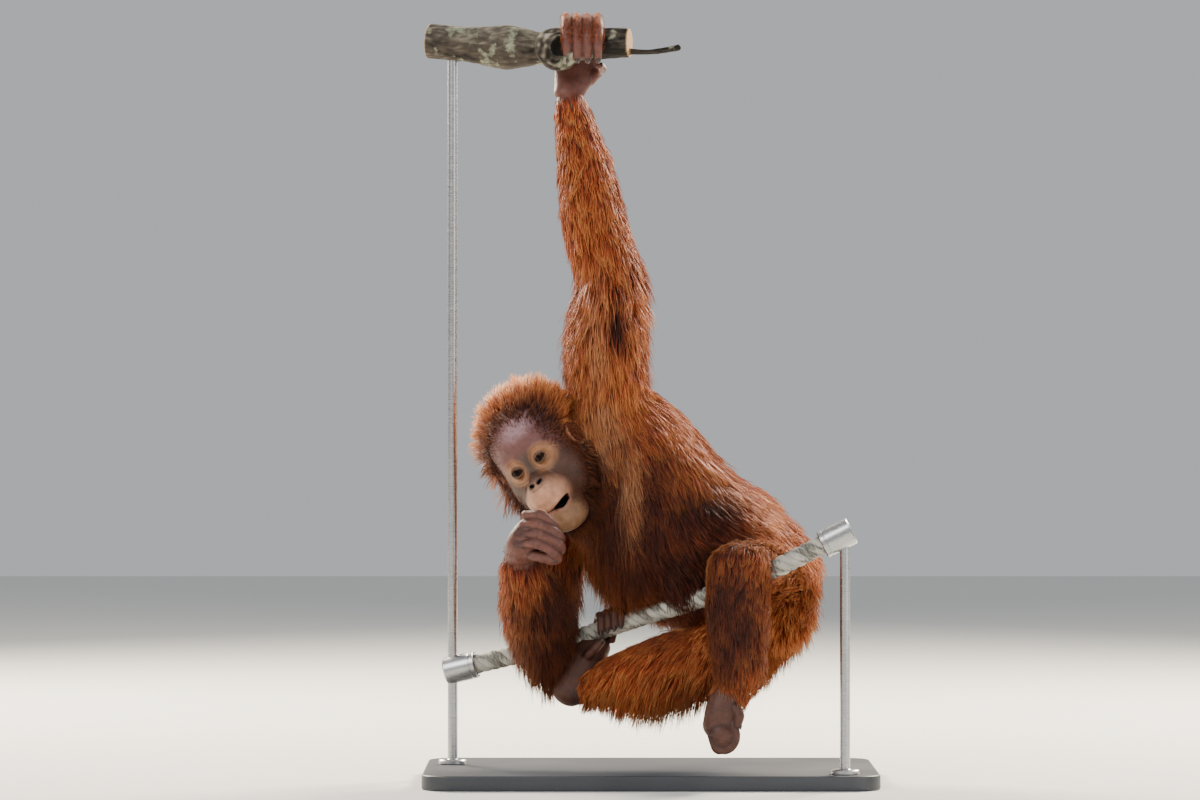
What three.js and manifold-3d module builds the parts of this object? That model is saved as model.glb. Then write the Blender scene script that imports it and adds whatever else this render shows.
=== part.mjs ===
// A young orangutan, life size and still. It hangs by its left hand from a cut length of branch, with its
// left knee hooked over a cut length of three-strand rope, its right foot round the rope, its right elbow
// leaning on it and its right fist at its mouth. A plain stand holds the branch and both ends of the rope.
// Millimetres, +Z up. The origin is on the floor under the middle of the base, +X is the viewer's right and
// +Y points away from the viewer. Left and right in names are the animal's own.
import * as THREE from 'three';
import { mergeVertices } from 'three/addons/utils/BufferGeometryUtils.js';
import Module from 'manifold-3d';

const wasm = await Module();
wasm.setup();

// Driving dimensions
const GAP = 0.45;
const MERGE = 0.2;
const LOCK_THICKNESS = 6;
const LOCK_SINK = 8;
const LOCK_CLEARANCE = 3.5;
const LOCK_SIDES = 3;
const LOCK_STEPS = 3;
const LOCK_RINGS = [
  { place: 0, fullness: 0 },
  { place: 0.2, fullness: 1 },
  { place: 0.48, fullness: 0.92 },
  { place: 0.78, fullness: 0.5 },
  { place: 1, fullness: 0 },
];
const LOCK_GROWTH = { across: 9, out: 2.3, tip: 8 };
const HANG = 5;
const CAP_SPAN = 0.2;
const CAP_REACH = 0.85;
const PLUMB = new THREE.Vector3(0, 0, -1);

// Stand
const BASE = { length: 540, width: 310, thickness: 18, corner: 36, bevel: 2.5 };
const ROD_RADIUS = 6;
const FOOT_RADIUS = 17;
const FOOT_HEIGHT = 6;
const ROD_LEFT = { x: -238, y: 42, top: 880 };
const ROD_RIGHT = { x: 228, y: -124, top: 296 };
const FERRULE = { outer: 16.5, depth: 30, behind: 9 };

// Perches
const ROPE_RADIUS = 11.5;
const ROPE_LAY = 42;
const ROPE_STRANDS = 3;
const ROPE_STEP = 15;
const STRAND_SWELLS = [1, 1, 0.8];
const ROPE_LINE = [
  [-238, 42, 132], [-176, 31, 147], [-118, 18, 161], [-54, -8, 184], [0, -36, 203],
  [50, -64, 219], [103, -106, 241], [141, -118, 257], [184, -122, 279], [228, -124, 301],
];
const BRANCH_LINE = [
  [-266, 46, 892], [-184, 28, 884], [-113, 12, 881], [-78, 4, 885], [-44, -4, 886], [-26, -8, 886],
];
const BRANCH_GIRTH = [22.5, 22.5, 29, 19, 21, 19];
const TWIG = { line: [[-36, -8, 876], [2, -10, 875], [34, -13, 880]], girth: [4.5, 3.6, 4.4] };
const KNOT = { at: [-110, -10, 878], outer: 26, mouth: 13, reach: 24, depth: 12 };

// Flesh: a line of points down each limb, and the half-width and half-depth of its section at even steps
const FLESH = {
  torso: {
    line: [[-54, -4, 438], [-22, 2, 394], [2, 5, 346], [30, 7, 300], [78, 13, 276], [130, 26, 242]],
    girth: [[52, 54], [72, 73], [80, 88], [86, 95], [84, 84], [68, 70]],
    side: [0, 1, 0], sides: 18, rings: 15,
  },
  neck: {
    line: [[-66, -2, 400], [-96, -18, 396], [-122, -30, 392]],
    girth: [[44, 42], [40, 40], [38, 38]], side: [0, 1, 0], sides: 10, rings: 7,
  },
  upper_arm_left: {
    line: [[-52, -30, 430], [-55, -22, 530], [-50, -6, 612]],
    girth: [[43, 38], [42, 36], [34, 31]], side: [1, 0, 0], sides: 12, rings: 10,
  },
  forearm_left: {
    line: [[-52, -4, 620], [-66, 3, 668], [-78, 10, 735], [-97, 21, 822]],
    girth: [[34, 31], [34, 31], [28, 24], [18, 14]], side: [1, 0, 0], sides: 12, rings: 10,
  },
  upper_arm_right: {
    line: [[-92, 66, 340], [-122, 48, 272], [-128, 6, 188]],
    girth: [[40, 38], [36, 34], [29, 28]], side: [1, 0, 0], sides: 10, rings: 9,
  },
  forearm_right: {
    line: [[-127, -8, 181], [-138, -58, 214], [-154, -128, 270]],
    girth: [[32, 30], [34, 31], [21, 18]], side: [1, 0, 0], sides: 12, rings: 9,
  },
  thigh_left: {
    line: [[144, -14, 232], [124, -76, 252], [104, -134, 264]],
    girth: [[46, 46], [38, 37], [29, 25]], side: [1, 0, 0], sides: 12, rings: 9,
  },
  shin_left: {
    line: [[102, -138, 266], [102, -139, 214], [103, -138, 162], [104, -136, 130]],
    girth: [[33, 27], [36, 28], [33, 27], [26, 20]], side: [1, 0, 0], sides: 12, rings: 10,
  },
  thigh_right: {
    line: [[134, 64, 214], [108, 2, 184], [80, -58, 160]],
    girth: [[46, 46], [40, 38], [31, 30]], side: [0, 0, 1], sides: 12, rings: 9,
  },
  shin_right: {
    line: [[78, -62, 160], [28, -46, 148], [-26, -30, 132], [-64, -16, 118]],
    girth: [[30, 30], [33, 32], [27, 26], [19, 20]], side: [0, 1, 0], sides: 12, rings: 10,
  },
};

// What else the locks keep clear of
const PERCHES = {
  rope: { line: ROPE_LINE, girth: [[ROPE_RADIUS, ROPE_RADIUS], [ROPE_RADIUS, ROPE_RADIUS]], count: 60 },
};

// Head: its middle, and its own forward, left and up axes
const HEAD_AT = new THREE.Vector3(-133, -40, 394);
const FORWARD = new THREE.Vector3(-0.279, -0.94, -0.197);
const LEFT = new THREE.Vector3(0.768, -0.342, 0.541);
const UP = new THREE.Vector3(-0.576, 0, 0.817);
const EYE = { forward: 42.5, side: 17.5, up: -4, radius: 9.2, lid: 2.1 };

// Rounded masses of the head in its own axes: middle, radii, and the width over which each melts in
const HEAD_MASSES = [
  { at: [-14, 0, 22], radii: [64, 53, 54], melt: 0 },
  { at: [14, 0, -18], radii: [36, 45, 48], melt: 16 },
  { at: [12, 24, -36], radii: [27, 22, 34], melt: 14 },
  { at: [12, -24, -36], radii: [27, 22, 34], melt: 14 },
  { at: [41, 0, -45], radii: [36, 31, 24], melt: 12 },
  { at: [34, 0, -80], radii: [31, 26, 18], melt: 12 },
  { at: [38, 17, 10], radii: [9, 16, 6], melt: 8 },
  { at: [38, -17, 10], radii: [9, 16, 6], melt: 8 },
  { at: [55, 0, -25], radii: [9, 10, 8], melt: 9 },
];
const SOCKETS = [[58, 18, -4], [58, -18, -4]];
const SOCKET_RADIUS = 11;

// Colours
const finish = (color, roughness, metalness = 0) =>
  new THREE.MeshStandardMaterial({ color, roughness, metalness, flatShading: true });
const COAT = finish(0xa8461c, 0.75);
const DARK_COAT = finish(0x6e2c18, 0.75);
const BARE_SKIN = finish(0x4a3530, 0.55);
const EAR_SKIN = finish(0x8a5638, 0.6);
const EYE_GLOSS = finish(0x1c120c, 0.12);
const BARK = finish(0x6d6656, 0.9);
const ROPE_FIBRE = finish(0x8f9187, 0.85);
const STEEL = finish(0x8b8d90, 0.35, 0.9);
const PLINTH = finish(0x2b2c2e, 0.5);

const vec = (p) => new THREE.Vector3(...p);
const mix = THREE.MathUtils.lerp;

// A small repeatable random number in 0..1
function seededRandom(seed) {
  let state = seed;
  return () => {
    state = (state * 1664525 + 1013904223) % 4294967296;
    return state / 4294967296;
  };
}

// A closed geometry as a solid, its shared corners merged
function solid(geometry) {
  const bare = geometry.clone();
  bare.deleteAttribute('normal');
  bare.deleteAttribute('uv');
  const shared = mergeVertices(bare, 1e-4);
  return new wasm.Manifold(new wasm.Mesh({
    numProp: 3,
    vertProperties: shared.attributes.position.array,
    triVerts: new Uint32Array(shared.index.array),
  }));
}

// A solid with its shortest edges merged away
const merged = (body) => body.asOriginal().simplify(MERGE);

// Solids joined into one, with the slivers that joining leaves merged away
const union = (solids) => merged(wasm.Manifold.union(solids));

// The largest closed surface of a solid: fused hollows and loose scraps are dropped
function largest(body) {
  const pieces = body.decompose();
  return pieces.reduce((best, piece) => (piece.volume() > best.volume() ? piece : best));
}

// A value of a row at a place from 0 to 1 along it, smoothly between its entries
function along(rows, place) {
  const curve = new THREE.CatmullRomCurve3(rows.map(([a, b]) => new THREE.Vector3(a, b, 0)));
  return curve.getPoint(place);
}

// The frame of a limb at a place along it: middle, width and depth directions, and half sizes
function station(limb, place) {
  limb.curve ??= new THREE.CatmullRomCurve3(limb.line.map(vec), false, 'centripetal');
  const at = limb.curve.getPointAt(place);
  const tangent = limb.curve.getTangentAt(place);
  const side = vec(limb.side ?? [1, 0, 0]);
  const width = side.addScaledVector(tangent, -side.dot(tangent)).normalize();
  const depth = new THREE.Vector3().crossVectors(tangent, width);
  const half = along(limb.girth, place);
  return { at, tangent, width, depth, half };
}

// A sphere drawn out along a limb's line, with an oval section all the way and a rounded cap at each end
function limbSolid(limb, grow = 0) {
  const { sides = 8, rings = 8, cap = CAP_REACH } = limb;
  const capRings = rings > 9 ? 3 : 2;
  const sphere = new THREE.SphereGeometry(1, sides, rings);
  const position = sphere.attributes.position;
  const p = new THREE.Vector3();
  for (let i = 0; i < position.count; i++) {
    p.fromBufferAttribute(position, i);
    const ring = Math.round((Math.acos(THREE.MathUtils.clamp(p.y, -1, 1)) / Math.PI) * rings);
    const turn = Math.atan2(p.z, p.x);
    const fromEnd = Math.min(ring, rings - ring);
    const place = THREE.MathUtils.clamp((ring - capRings) / (rings - 2 * capRings), 0, 1);
    const { at, tangent, width, depth, half } = station(limb, place);
    const bulge = fromEnd < capRings ? (fromEnd / capRings) * (Math.PI / 2) : Math.PI / 2;
    const reach = cap * Math.min(half.x, half.y) + grow;
    const beyond = (ring < rings / 2 ? -1 : 1) * Math.cos(bulge) * reach;
    p.copy(at)
      .addScaledVector(tangent, beyond)
      .addScaledVector(width, Math.cos(turn) * Math.sin(bulge) * (half.x + grow))
      .addScaledVector(depth, Math.sin(turn) * Math.sin(bulge) * (half.y + grow));
    position.setXYZ(i, p.x, p.y, p.z);
  }
  return outward(sphere);
}

// A closed geometry as a solid, its faces turned round if they face in
function outward(geometry) {
  const made = solid(geometry);
  if (made.volume() > 0) return made;
  const index = geometry.index.array;
  for (let i = 0; i < index.length; i += 3) [index[i + 1], index[i + 2]] = [index[i + 2], index[i + 1]];
  return solid(geometry);
}

// An ellipsoid turned by a quaternion
function ellipsoid(at, radii, grow = 0, turn = new THREE.Quaternion(), sides = 12, rings = 8) {
  const g = new THREE.SphereGeometry(1, sides, rings);
  g.scale(radii[0] + grow, radii[1] + grow, radii[2] + grow);
  g.applyQuaternion(turn);
  g.translate(at.x, at.y, at.z);
  return solid(g);
}

// Distance from a point to a limb's flesh, from balls strung along it
function distanceToLimb(limb, p) {
  const count = limb.count ?? 16;
  limb.balls ??= Array.from({ length: count + 1 }, (_, i) => {
    const { at, half } = station(limb, i / count);
    return { at, radius: (half.x + half.y) / 2 };
  });
  return Math.min(...limb.balls.map((ball) => ball.at.distanceTo(p) - ball.radius));
}

const headAxes = new THREE.Matrix4().makeBasis(FORWARD, LEFT, UP);
const headTurn = new THREE.Quaternion().setFromRotationMatrix(headAxes);
const fromHead = (p) => vec(p).applyQuaternion(headTurn).add(HEAD_AT);
const intoHead = (p) => p.clone().sub(HEAD_AT).applyQuaternion(headTurn.clone().invert());
const headTurned = (axis, angle) =>
  new THREE.Quaternion().setFromAxisAngle(vec(axis), angle).premultiply(headTurn);
const even = (radius) => [radius, radius, radius];

// Distance from a point to an ellipsoid, close enough near its surface
function distanceToEllipsoid(p, at, radii) {
  const q = p.clone().sub(vec(at));
  const r = vec(radii);
  const near = q.clone().divide(r).length();
  const steep = q.clone().divide(r).divide(r).length();
  return steep > 0 ? (near * (near - 1)) / steep : -Math.min(...radii);
}

// Two distances melted together over a width
function melted(a, b, width) {
  if (width === 0) return Math.min(a, b);
  const h = Math.max(width - Math.abs(a - b), 0) / width;
  return Math.min(a, b) - (h * h * width) / 4;
}

// Distance from a point, in the head's own axes, to its surface
function distanceToHead(p) {
  let d = Infinity;
  for (const mass of HEAD_MASSES) d = melted(d, distanceToEllipsoid(p, mass.at, mass.radii), mass.melt);
  for (const at of SOCKETS) d = -melted(-d, p.distanceTo(vec(at)) - SOCKET_RADIUS, 7);
  return d;
}

// Where a ray from inside the head, along a direction in its own axes, leaves the surface
function headSurface(from, direction, grow = 0) {
  let reach = 150;
  const p = new THREE.Vector3();
  for (let i = 0; i < 60; i++) {
    const d = distanceToHead(p.copy(from).addScaledVector(direction, reach)) - grow;
    if (Math.abs(d) < 0.02) break;
    reach -= d * 0.8;
  }
  return p.clone();
}

// Distance from a point to the flesh and perches other than the named nodes
function distanceToOthers(p, own) {
  let d = Infinity;
  for (const [name, limb] of Object.entries({ ...FLESH, ...PERCHES })) {
    if (!own.includes(name)) d = Math.min(d, distanceToLimb(limb, p));
  }
  if (!own.includes('head')) d = Math.min(d, distanceToHead(intoHead(p)));
  return d;
}

// Moves a point straight away from what it is nearest to
function pushOut(p, own, by) {
  const here = distanceToOthers(p, own);
  const slope = new THREE.Vector3();
  for (const axis of ['x', 'y', 'z']) {
    const q = p.clone();
    q[axis] += 1;
    slope[axis] = distanceToOthers(q, own) - here;
  }
  p.addScaledVector(slope.normalize(), by);
}

// A flat lock of hair: it leaves its root, lies along its direction, droops, keeps clear of other flesh and
// tapers to its tip
function lock({ root, normal, lie, length, width, droop, lift, own, grow }) {
  const heading = lie.clone().normalize();
  const sunk = root.clone().addScaledVector(normal, -LOCK_SINK).addScaledVector(heading, -LOCK_SINK / 2);
  const path = [sunk, root.clone()];
  heading.addScaledVector(normal, lift).normalize();
  const at = root.clone();
  for (let i = 1; i <= LOCK_STEPS; i++) {
    heading.addScaledVector(PLUMB, droop / LOCK_STEPS).normalize();
    at.addScaledVector(heading, length / LOCK_STEPS);
    const near = distanceToOthers(at, own);
    if (near < LOCK_CLEARANCE) pushOut(at, own, LOCK_CLEARANCE - near);
    path.push(at.clone());
  }
  const across = new THREE.Vector3().crossVectors(normal, heading).normalize();
  const curve = new THREE.CatmullRomCurve3(path);
  const sphere = new THREE.SphereGeometry(1, LOCK_SIDES, LOCK_RINGS.length - 1);
  const position = sphere.attributes.position;
  const p = new THREE.Vector3();
  for (let i = 0; i < position.count; i++) {
    p.fromBufferAttribute(position, i);
    const turn = Math.atan2(p.z, p.x) + Math.PI / 2;
    const ring = Math.round((Math.acos(p.y) / Math.PI) * (LOCK_RINGS.length - 1));
    const { place, fullness } = LOCK_RINGS[ring];
    const tangent = curve.getTangentAt(place);
    const out = new THREE.Vector3().crossVectors(tangent, across).normalize();
    const swell = fullness > 0 ? grow : 0;
    const halfWidth = (fullness * width) / 2 + LOCK_GROWTH.across * swell;
    const halfThickness = (Math.sqrt(fullness) * LOCK_THICKNESS) / 2 + LOCK_GROWTH.out * swell;
    p.copy(curve.getPointAt(place))
      .addScaledVector(across, Math.cos(turn) * halfWidth)
      .addScaledVector(out, Math.sin(turn) * halfThickness);
    if (place === 1) p.addScaledVector(tangent, LOCK_GROWTH.tip * grow);
    position.setXYZ(i, p.x, p.y, p.z);
  }
  return outward(sphere);
}

// A place on a limb's surface, with its normal. Below 0 and above 1 it runs over the rounded ends
function skinAt(limb, place, turn) {
  const { at, tangent, width, depth, half } = station(limb, THREE.MathUtils.clamp(place, 0, 1));
  const over = place > 1 ? place - 1 : Math.min(place, 0);
  const beyond = THREE.MathUtils.clamp(over / CAP_SPAN, -1, 1) * (Math.PI / 2);
  const ring = Math.cos(beyond);
  const reach = Math.sin(beyond) * CAP_REACH * Math.min(half.x, half.y);
  const root = at.clone()
    .addScaledVector(width, Math.cos(turn) * half.x * ring)
    .addScaledVector(depth, Math.sin(turn) * half.y * ring)
    .addScaledVector(tangent, reach);
  const normal = new THREE.Vector3()
    .addScaledVector(width, Math.cos(turn) * ring)
    .addScaledVector(depth, (Math.sin(turn) * ring * half.x) / half.y)
    .addScaledVector(tangent, Math.sin(beyond))
    .normalize();
  return { root, normal, tangent };
}

// Locks in rows round a limb
function limbLocks(name, grow) {
  const limb = FLESH[name];
  const coat = COATS[name];
  const random = seededRandom(coat.seed);
  const locks = [];
  for (let row = 0; row < coat.rows; row++) {
    const place = mix(coat.from, coat.to, coat.rows > 1 ? row / (coat.rows - 1) : 0);
    for (let i = 0; i < coat.around; i++) {
      const turn = ((i + 0.5 * (row % 2) + 0.3 * (random() - 0.5)) / coat.around) * 2 * Math.PI;
      const length = coat.length * (0.85 + 0.3 * random());
      const { root, normal, tangent } = skinAt(limb, place, turn);
      if (coat.bare?.(normal, place) || distanceToOthers(root, [name]) < coat.keepOff) continue;
      const lie = tangent.clone().multiplyScalar(coat.flow).addScaledVector(normal, -tangent.dot(normal));
      const droop = coat.droop * (1 + HANG * Math.max(0, 0.15 - normal.z));
      const { width, lift } = coat;
      locks.push(lock({ root, normal, lie, length, width, droop, lift, own: [name], grow }));
    }
  }
  return locks;
}

// How each limb wears its coat: how many rows of locks, where they start and end along the limb, how far
// they run down (+) or up (-) it, and how near other flesh a lock may be rooted
const COATS = {
  torso: {
    rows: 6, around: 9, from: 0.08, to: 1.1, flow: 1, length: 66, width: 50, droop: 0.2, lift: 0.22,
    keepOff: 6, seed: 4, bare: (normal, place) => normal.z < -0.2 && normal.y > -0.35 && place < 0.7,
  },
  upper_arm_left: {
    rows: 4, around: 5, from: 0.3, to: 1.12, flow: -0.6, length: 64, width: 44, droop: 0.1, lift: 0.45,
    keepOff: 6, seed: 5,
  },
  forearm_left: {
    rows: 4, around: 5, from: 0.06, to: 0.86, flow: -1, length: 58, width: 34, droop: 0.2, lift: 0.22,
    keepOff: 6, seed: 7,
  },
  upper_arm_right: {
    rows: 2, around: 5, from: 0.2, to: 0.7, flow: 1, length: 62, width: 40, droop: 0.3, lift: 0.35,
    keepOff: 6, seed: 11,
  },
  forearm_right: {
    rows: 3, around: 5, from: 0.05, to: 0.8, flow: -1, length: 60, width: 36, droop: 0.5, lift: 0.3,
    keepOff: 6, seed: 13,
  },
  thigh_left: {
    rows: 2, around: 5, from: 0.35, to: 0.8, flow: 1, length: 40, width: 40, droop: 0.3, lift: 0.15,
    keepOff: 8, seed: 17,
  },
  shin_left: {
    rows: 3, around: 5, from: 0.2, to: 0.9, flow: 1, length: 46, width: 37, droop: 0.2, lift: 0.2,
    keepOff: 6, seed: 19,
  },
  thigh_right: {
    rows: 2, around: 5, from: 0.35, to: 0.85, flow: 1, length: 46, width: 42, droop: 0.4, lift: 0.25,
    keepOff: 8, seed: 23,
  },
  shin_right: {
    rows: 4, around: 5, from: 0.1, to: 0.9, flow: 0.9, length: 54, width: 34, droop: 0.6, lift: 0.3,
    keepOff: 6, seed: 29,
  },
};

// The long hair that hangs from the belly in front of the rope
const FRINGE = {
  count: 6, from: 0.42, to: 0.84, turn: 1.24 * Math.PI, length: 84, width: 44, droop: 0.6, lift: 0.05,
  seed: 37,
};
function fringeLocks(grow) {
  const random = seededRandom(FRINGE.seed);
  return Array.from({ length: FRINGE.count }, (_, i) => {
    const place = mix(FRINGE.from, FRINGE.to, i / (FRINGE.count - 1));
    const { root, normal, tangent } = skinAt(FLESH.torso, place, FRINGE.turn + 0.2 * (i % 2));
    const lie = PLUMB.clone().addScaledVector(tangent, 0.25).addScaledVector(normal, 0.15);
    const length = FRINGE.length * (0.85 + 0.3 * random());
    const { width, droop, lift } = FRINGE;
    return lock({ root, normal, lie, length, width, droop, lift, own: ['torso'], grow });
  });
}

// The halo of hair round the face
const HALO = { rows: 3, around: 9, length: 40, width: 41, front: 0.55, back: -0.6, seed: 31 };
function headLocks(grow) {
  const random = seededRandom(HALO.seed);
  const locks = [];
  for (let row = 0; row < HALO.rows; row++) {
    const forward = mix(HALO.front, HALO.back, row / (HALO.rows - 1));
    const ring = Math.sqrt(1 - forward * forward);
    for (let i = 0; i < HALO.around; i++) {
      const turn = ((i + 0.5 * (row % 2)) / HALO.around) * 2 * Math.PI;
      const length = HALO.length * (0.85 + 0.3 * random());
      const direction = new THREE.Vector3(forward, ring * Math.cos(turn), ring * Math.sin(turn));
      const spot = headSurface(new THREE.Vector3(-6, 0, 0), direction);
      const root = fromHead(spot.toArray());
      if (spot.x > 8 + 0.5 * Math.max(0, spot.z) || distanceToOthers(root, ['head']) < 5) continue;
      const rim = new THREE.Vector3(0, spot.y, spot.z).normalize();
      locks.push(lock({
        root, normal: direction.clone().applyQuaternion(headTurn), length, width: HALO.width, grow,
        lie: new THREE.Vector3(-1.2, rim.y, rim.z).normalize().applyQuaternion(headTurn),
        droop: spot.z < -20 ? 0.4 : 0, lift: 0.35, own: ['head', 'neck'],
      }));
    }
  }
  return locks;
}

// The head with its sockets, lids, nose, lips and open mouth, and the hair round it
const HEAD_GRID = { sides: 26, rings: 21 };
const NOSTRIL = { at: [63, 5, -28], radii: [5, 3.1, 2], turn: 0.5 };
const SLIT = { radii: [6.5, 7.8, 4.6], outward: 0.6 };
function head(grow) {
  const sphere = new THREE.SphereGeometry(1, HEAD_GRID.sides, HEAD_GRID.rings);
  const position = sphere.attributes.position;
  const p = new THREE.Vector3();
  const heart = new THREE.Vector3(4, 0, -10);
  for (let i = 0; i < position.count; i++) {
    p.fromBufferAttribute(position, i);
    const ring = Math.acos(THREE.MathUtils.clamp(p.y, -1, 1)) / Math.PI;
    const lean = Math.PI * (0.55 * ring + 0.45 * ring * ring);
    const turn = Math.atan2(p.z, p.x);
    const across = Math.sin(lean);
    const direction = new THREE.Vector3(Math.cos(lean), across * Math.cos(turn), across * Math.sin(turn));
    const spot = fromHead(headSurface(heart, direction, grow).toArray());
    position.setXYZ(i, spot.x, spot.y, spot.z);
  }
  const added = [outward(sphere)];
  const removed = [];
  for (const sign of [1, -1]) {
    const eye = fromHead([EYE.forward, sign * EYE.side, EYE.up]);
    added.push(ellipsoid(eye, even(EYE.radius + EYE.lid), grow, headTurn, 12, 8));
    removed.push(ellipsoid(eye, even(EYE.radius), GAP - grow, headTurn, 10, 7));
    const slitAt = fromHead([EYE.forward + EYE.radius, sign * (EYE.side + SLIT.outward), EYE.up]);
    removed.push(ellipsoid(slitAt, SLIT.radii, -grow, headTurn, 10, 6));
    const [forward, side, up] = NOSTRIL.at;
    const turn = headTurned([1, 0, 0], sign * NOSTRIL.turn);
    removed.push(ellipsoid(fromHead([forward, sign * side, up]), NOSTRIL.radii, -grow, turn, 8, 6));
  }
  removed.push(limbSolid({ ...MOUTH, girth: MOUTH.girth.map(([a, b]) => [a - grow, b - grow]) }));
  added.push(limbSolid(LIP_UPPER, grow), limbSolid(LIP_LOWER, grow), ...headLocks(grow));
  return largest(union(added).subtract(union(removed)));
}

// The mouth: a flat opening across the muzzle, widest at the animal's left corner, between two lips. Each
// line is a row of places in the head's own axes
const faceLine = (places) => places.map((place) => fromHead(place).toArray());
const LIP_GRID = { side: FORWARD.toArray(), sides: 8, rings: 8 };
const MOUTH = {
  ...LIP_GRID,
  line: faceLine([[52, -19, -62], [62, -9, -63.5], [66, 1, -64], [63, 10, -63.5], [53, 18, -61]]),
  girth: [[12, 1], [14, 2], [15, 3.6], [15, 4.4], [12, 2.2]],
  rings: 9,
  cap: 0.5,
};
const LIP_UPPER = {
  ...LIP_GRID,
  line: faceLine([[54, -21, -59], [66, -10, -58.5], [70, 1, -58], [67, 11, -57], [54, 20, -57]]),
  girth: [[2.5, 2.2], [4, 2.8], [4.4, 3], [4, 2.8], [2.5, 2.2]],
};
const LIP_LOWER = {
  ...LIP_GRID,
  line: faceLine([[50, -20, -66], [60, -9, -69], [63, 1, -71], [61, 10, -71], [51, 19, -65.5]]),
  girth: [[2.5, 2.2], [4, 2.8], [4.4, 3.2], [4, 2.8], [2.5, 2.2]],
};

// One eyeball
const eyeball = (sign) => (grow) => {
  const eye = fromHead([EYE.forward, sign * EYE.side, EYE.up]);
  return ellipsoid(eye, even(EYE.radius), grow, headTurn, 10, 7);
};

// One ear: a small round cup with a rolled rim, on a short root
const EAR = { shell: [9.5, 6.5, 13.5], root: [6, 9, 9], hollow: [6, 5.5, 9.5], tilt: 0.35 };
const ear = (sign) => (grow) => {
  const tilt = headTurned([0, 0, 1], sign * EAR.tilt);
  const shell = ellipsoid(fromHead([5, sign * 52, -4]), EAR.shell, grow, tilt, 9, 7);
  const root = ellipsoid(fromHead([6, sign * 46, -5]), EAR.root, grow, tilt, 7, 5);
  const hollow = ellipsoid(fromHead([8, sign * 56.5, -4]), EAR.hollow, -grow, tilt, 9, 5);
  return union([shell, root]).subtract(hollow);
};

// A finger or toe: a bent tube that thins to its tip
const digit = (line, radius) => ({
  line,
  girth: [[radius, radius], [radius * 0.95, radius * 0.95], [radius * 0.78, radius * 0.8]],
  sides: 6,
  rings: 6,
  cap: 0.8,
});

// Left hand: the palm behind the branch and four fingers over the top of it
const HAND_LEFT = {
  finger: 6.6,
  spacing: 12.4,
  middle: -83,
  thumb: { line: [[-64, 28, 850], [-58, 14, 855], [-60, -4, 859]], girth: 5.6 },
  palm: {
    line: [[-98, 22, 826], [-90, 31, 854], [-84, 31, 886]],
    girth: [[18, 13], [26, 11], [27, 9]], side: [1, 0, 0], sides: 10, rings: 7,
  },
};
function handLeft(grow) {
  const pieces = [limbSolid(HAND_LEFT.palm, grow)];
  for (let k = 0; k < 4; k++) {
    const x = HAND_LEFT.middle + (k - 1.5) * HAND_LEFT.spacing;
    const line = [
      [x, 31, 892], [x, 22, 909], [x + 1, 2, 915], [x + 2, -21, 905], [x + 2, -30, 886], [x + 2, -24, 866],
    ];
    pieces.push(limbSolid({ ...digit(line, HAND_LEFT.finger), rings: 9 }, grow));
  }
  pieces.push(limbSolid(digit(HAND_LEFT.thumb.line, HAND_LEFT.thumb.girth), grow));
  return union(pieces);
}

// Right hand: a loose fist in front of the mouth, the knuckles to the viewer's left
const HAND_RIGHT = {
  finger: 6.4,
  spacing: 10.8,
  inset: 2.4,
  thumb: { line: [[-148, -148, 277], [-131, -159, 272], [-113, -158, 271]], girth: 6.6 },
  palm: {
    line: [[-154, -130, 274], [-147, -144, 290], [-137, -150, 304]],
    girth: [[19, 16], [23, 17], [22, 15]], side: [1, 0, 0.3], sides: 10, rings: 7,
  },
};
function handRight(grow) {
  const pieces = [limbSolid(HAND_RIGHT.palm, grow)];
  for (let k = 0; k < 4; k++) {
    const drop = k * HAND_RIGHT.spacing;
    const inset = k * HAND_RIGHT.inset;
    const line = [
      [-147 - inset, -158, 321 - drop], [-128 - inset / 2, -169, 320 - drop], [-109, -164, 310 - drop],
      [-106, -151, 303 - drop], [-120, -146, 301 - drop],
    ];
    pieces.push(limbSolid(digit(line, HAND_RIGHT.finger), grow));
  }
  pieces.push(limbSolid(digit(HAND_RIGHT.thumb.line, HAND_RIGHT.thumb.girth), grow));
  return union(pieces);
}

// Left foot: it hangs from the ankle as a fist, the heel to the viewer's right
const FOOT_LEFT = {
  toe: 6.6,
  spacing: 10,
  front: -156,
  thumb: { line: [[90, -150, 104], [102, -154, 92], [101, -156, 78]], girth: 6.4 },
  instep: {
    line: [[98, -136, 122], [85, -140, 100], [80, -141, 76]],
    girth: [[19, 17], [20, 19], [20, 20]], side: [1, 0, 0], sides: 10, rings: 7,
  },
  heel: {
    line: [[102, -134, 124], [114, -131, 126], [124, -128, 128]],
    girth: [[14, 15], [13, 13], [10, 11]], side: [0, 1, 0], sides: 8, rings: 6,
  },
  ball: {
    line: [[82, -152, 66], [82, -130, 66]],
    girth: [[15, 15], [15, 15]], side: [1, 0, 0], sides: 8, rings: 6,
  },
};
function footLeft(grow) {
  const pieces = [FOOT_LEFT.instep, FOOT_LEFT.heel, FOOT_LEFT.ball].map((mass) => limbSolid(mass, grow));
  for (let k = 0; k < 4; k++) {
    const y = FOOT_LEFT.front + k * FOOT_LEFT.spacing;
    const line = [[71, y, 66], [77, y, 50], [92, y + 1, 51], [99, y + 2, 66], [95, y + 2, 80]];
    pieces.push(limbSolid(digit(line, FOOT_LEFT.toe), grow));
  }
  pieces.push(limbSolid(digit(FOOT_LEFT.thumb.line, FOOT_LEFT.thumb.girth), grow));
  return union(pieces);
}

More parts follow.
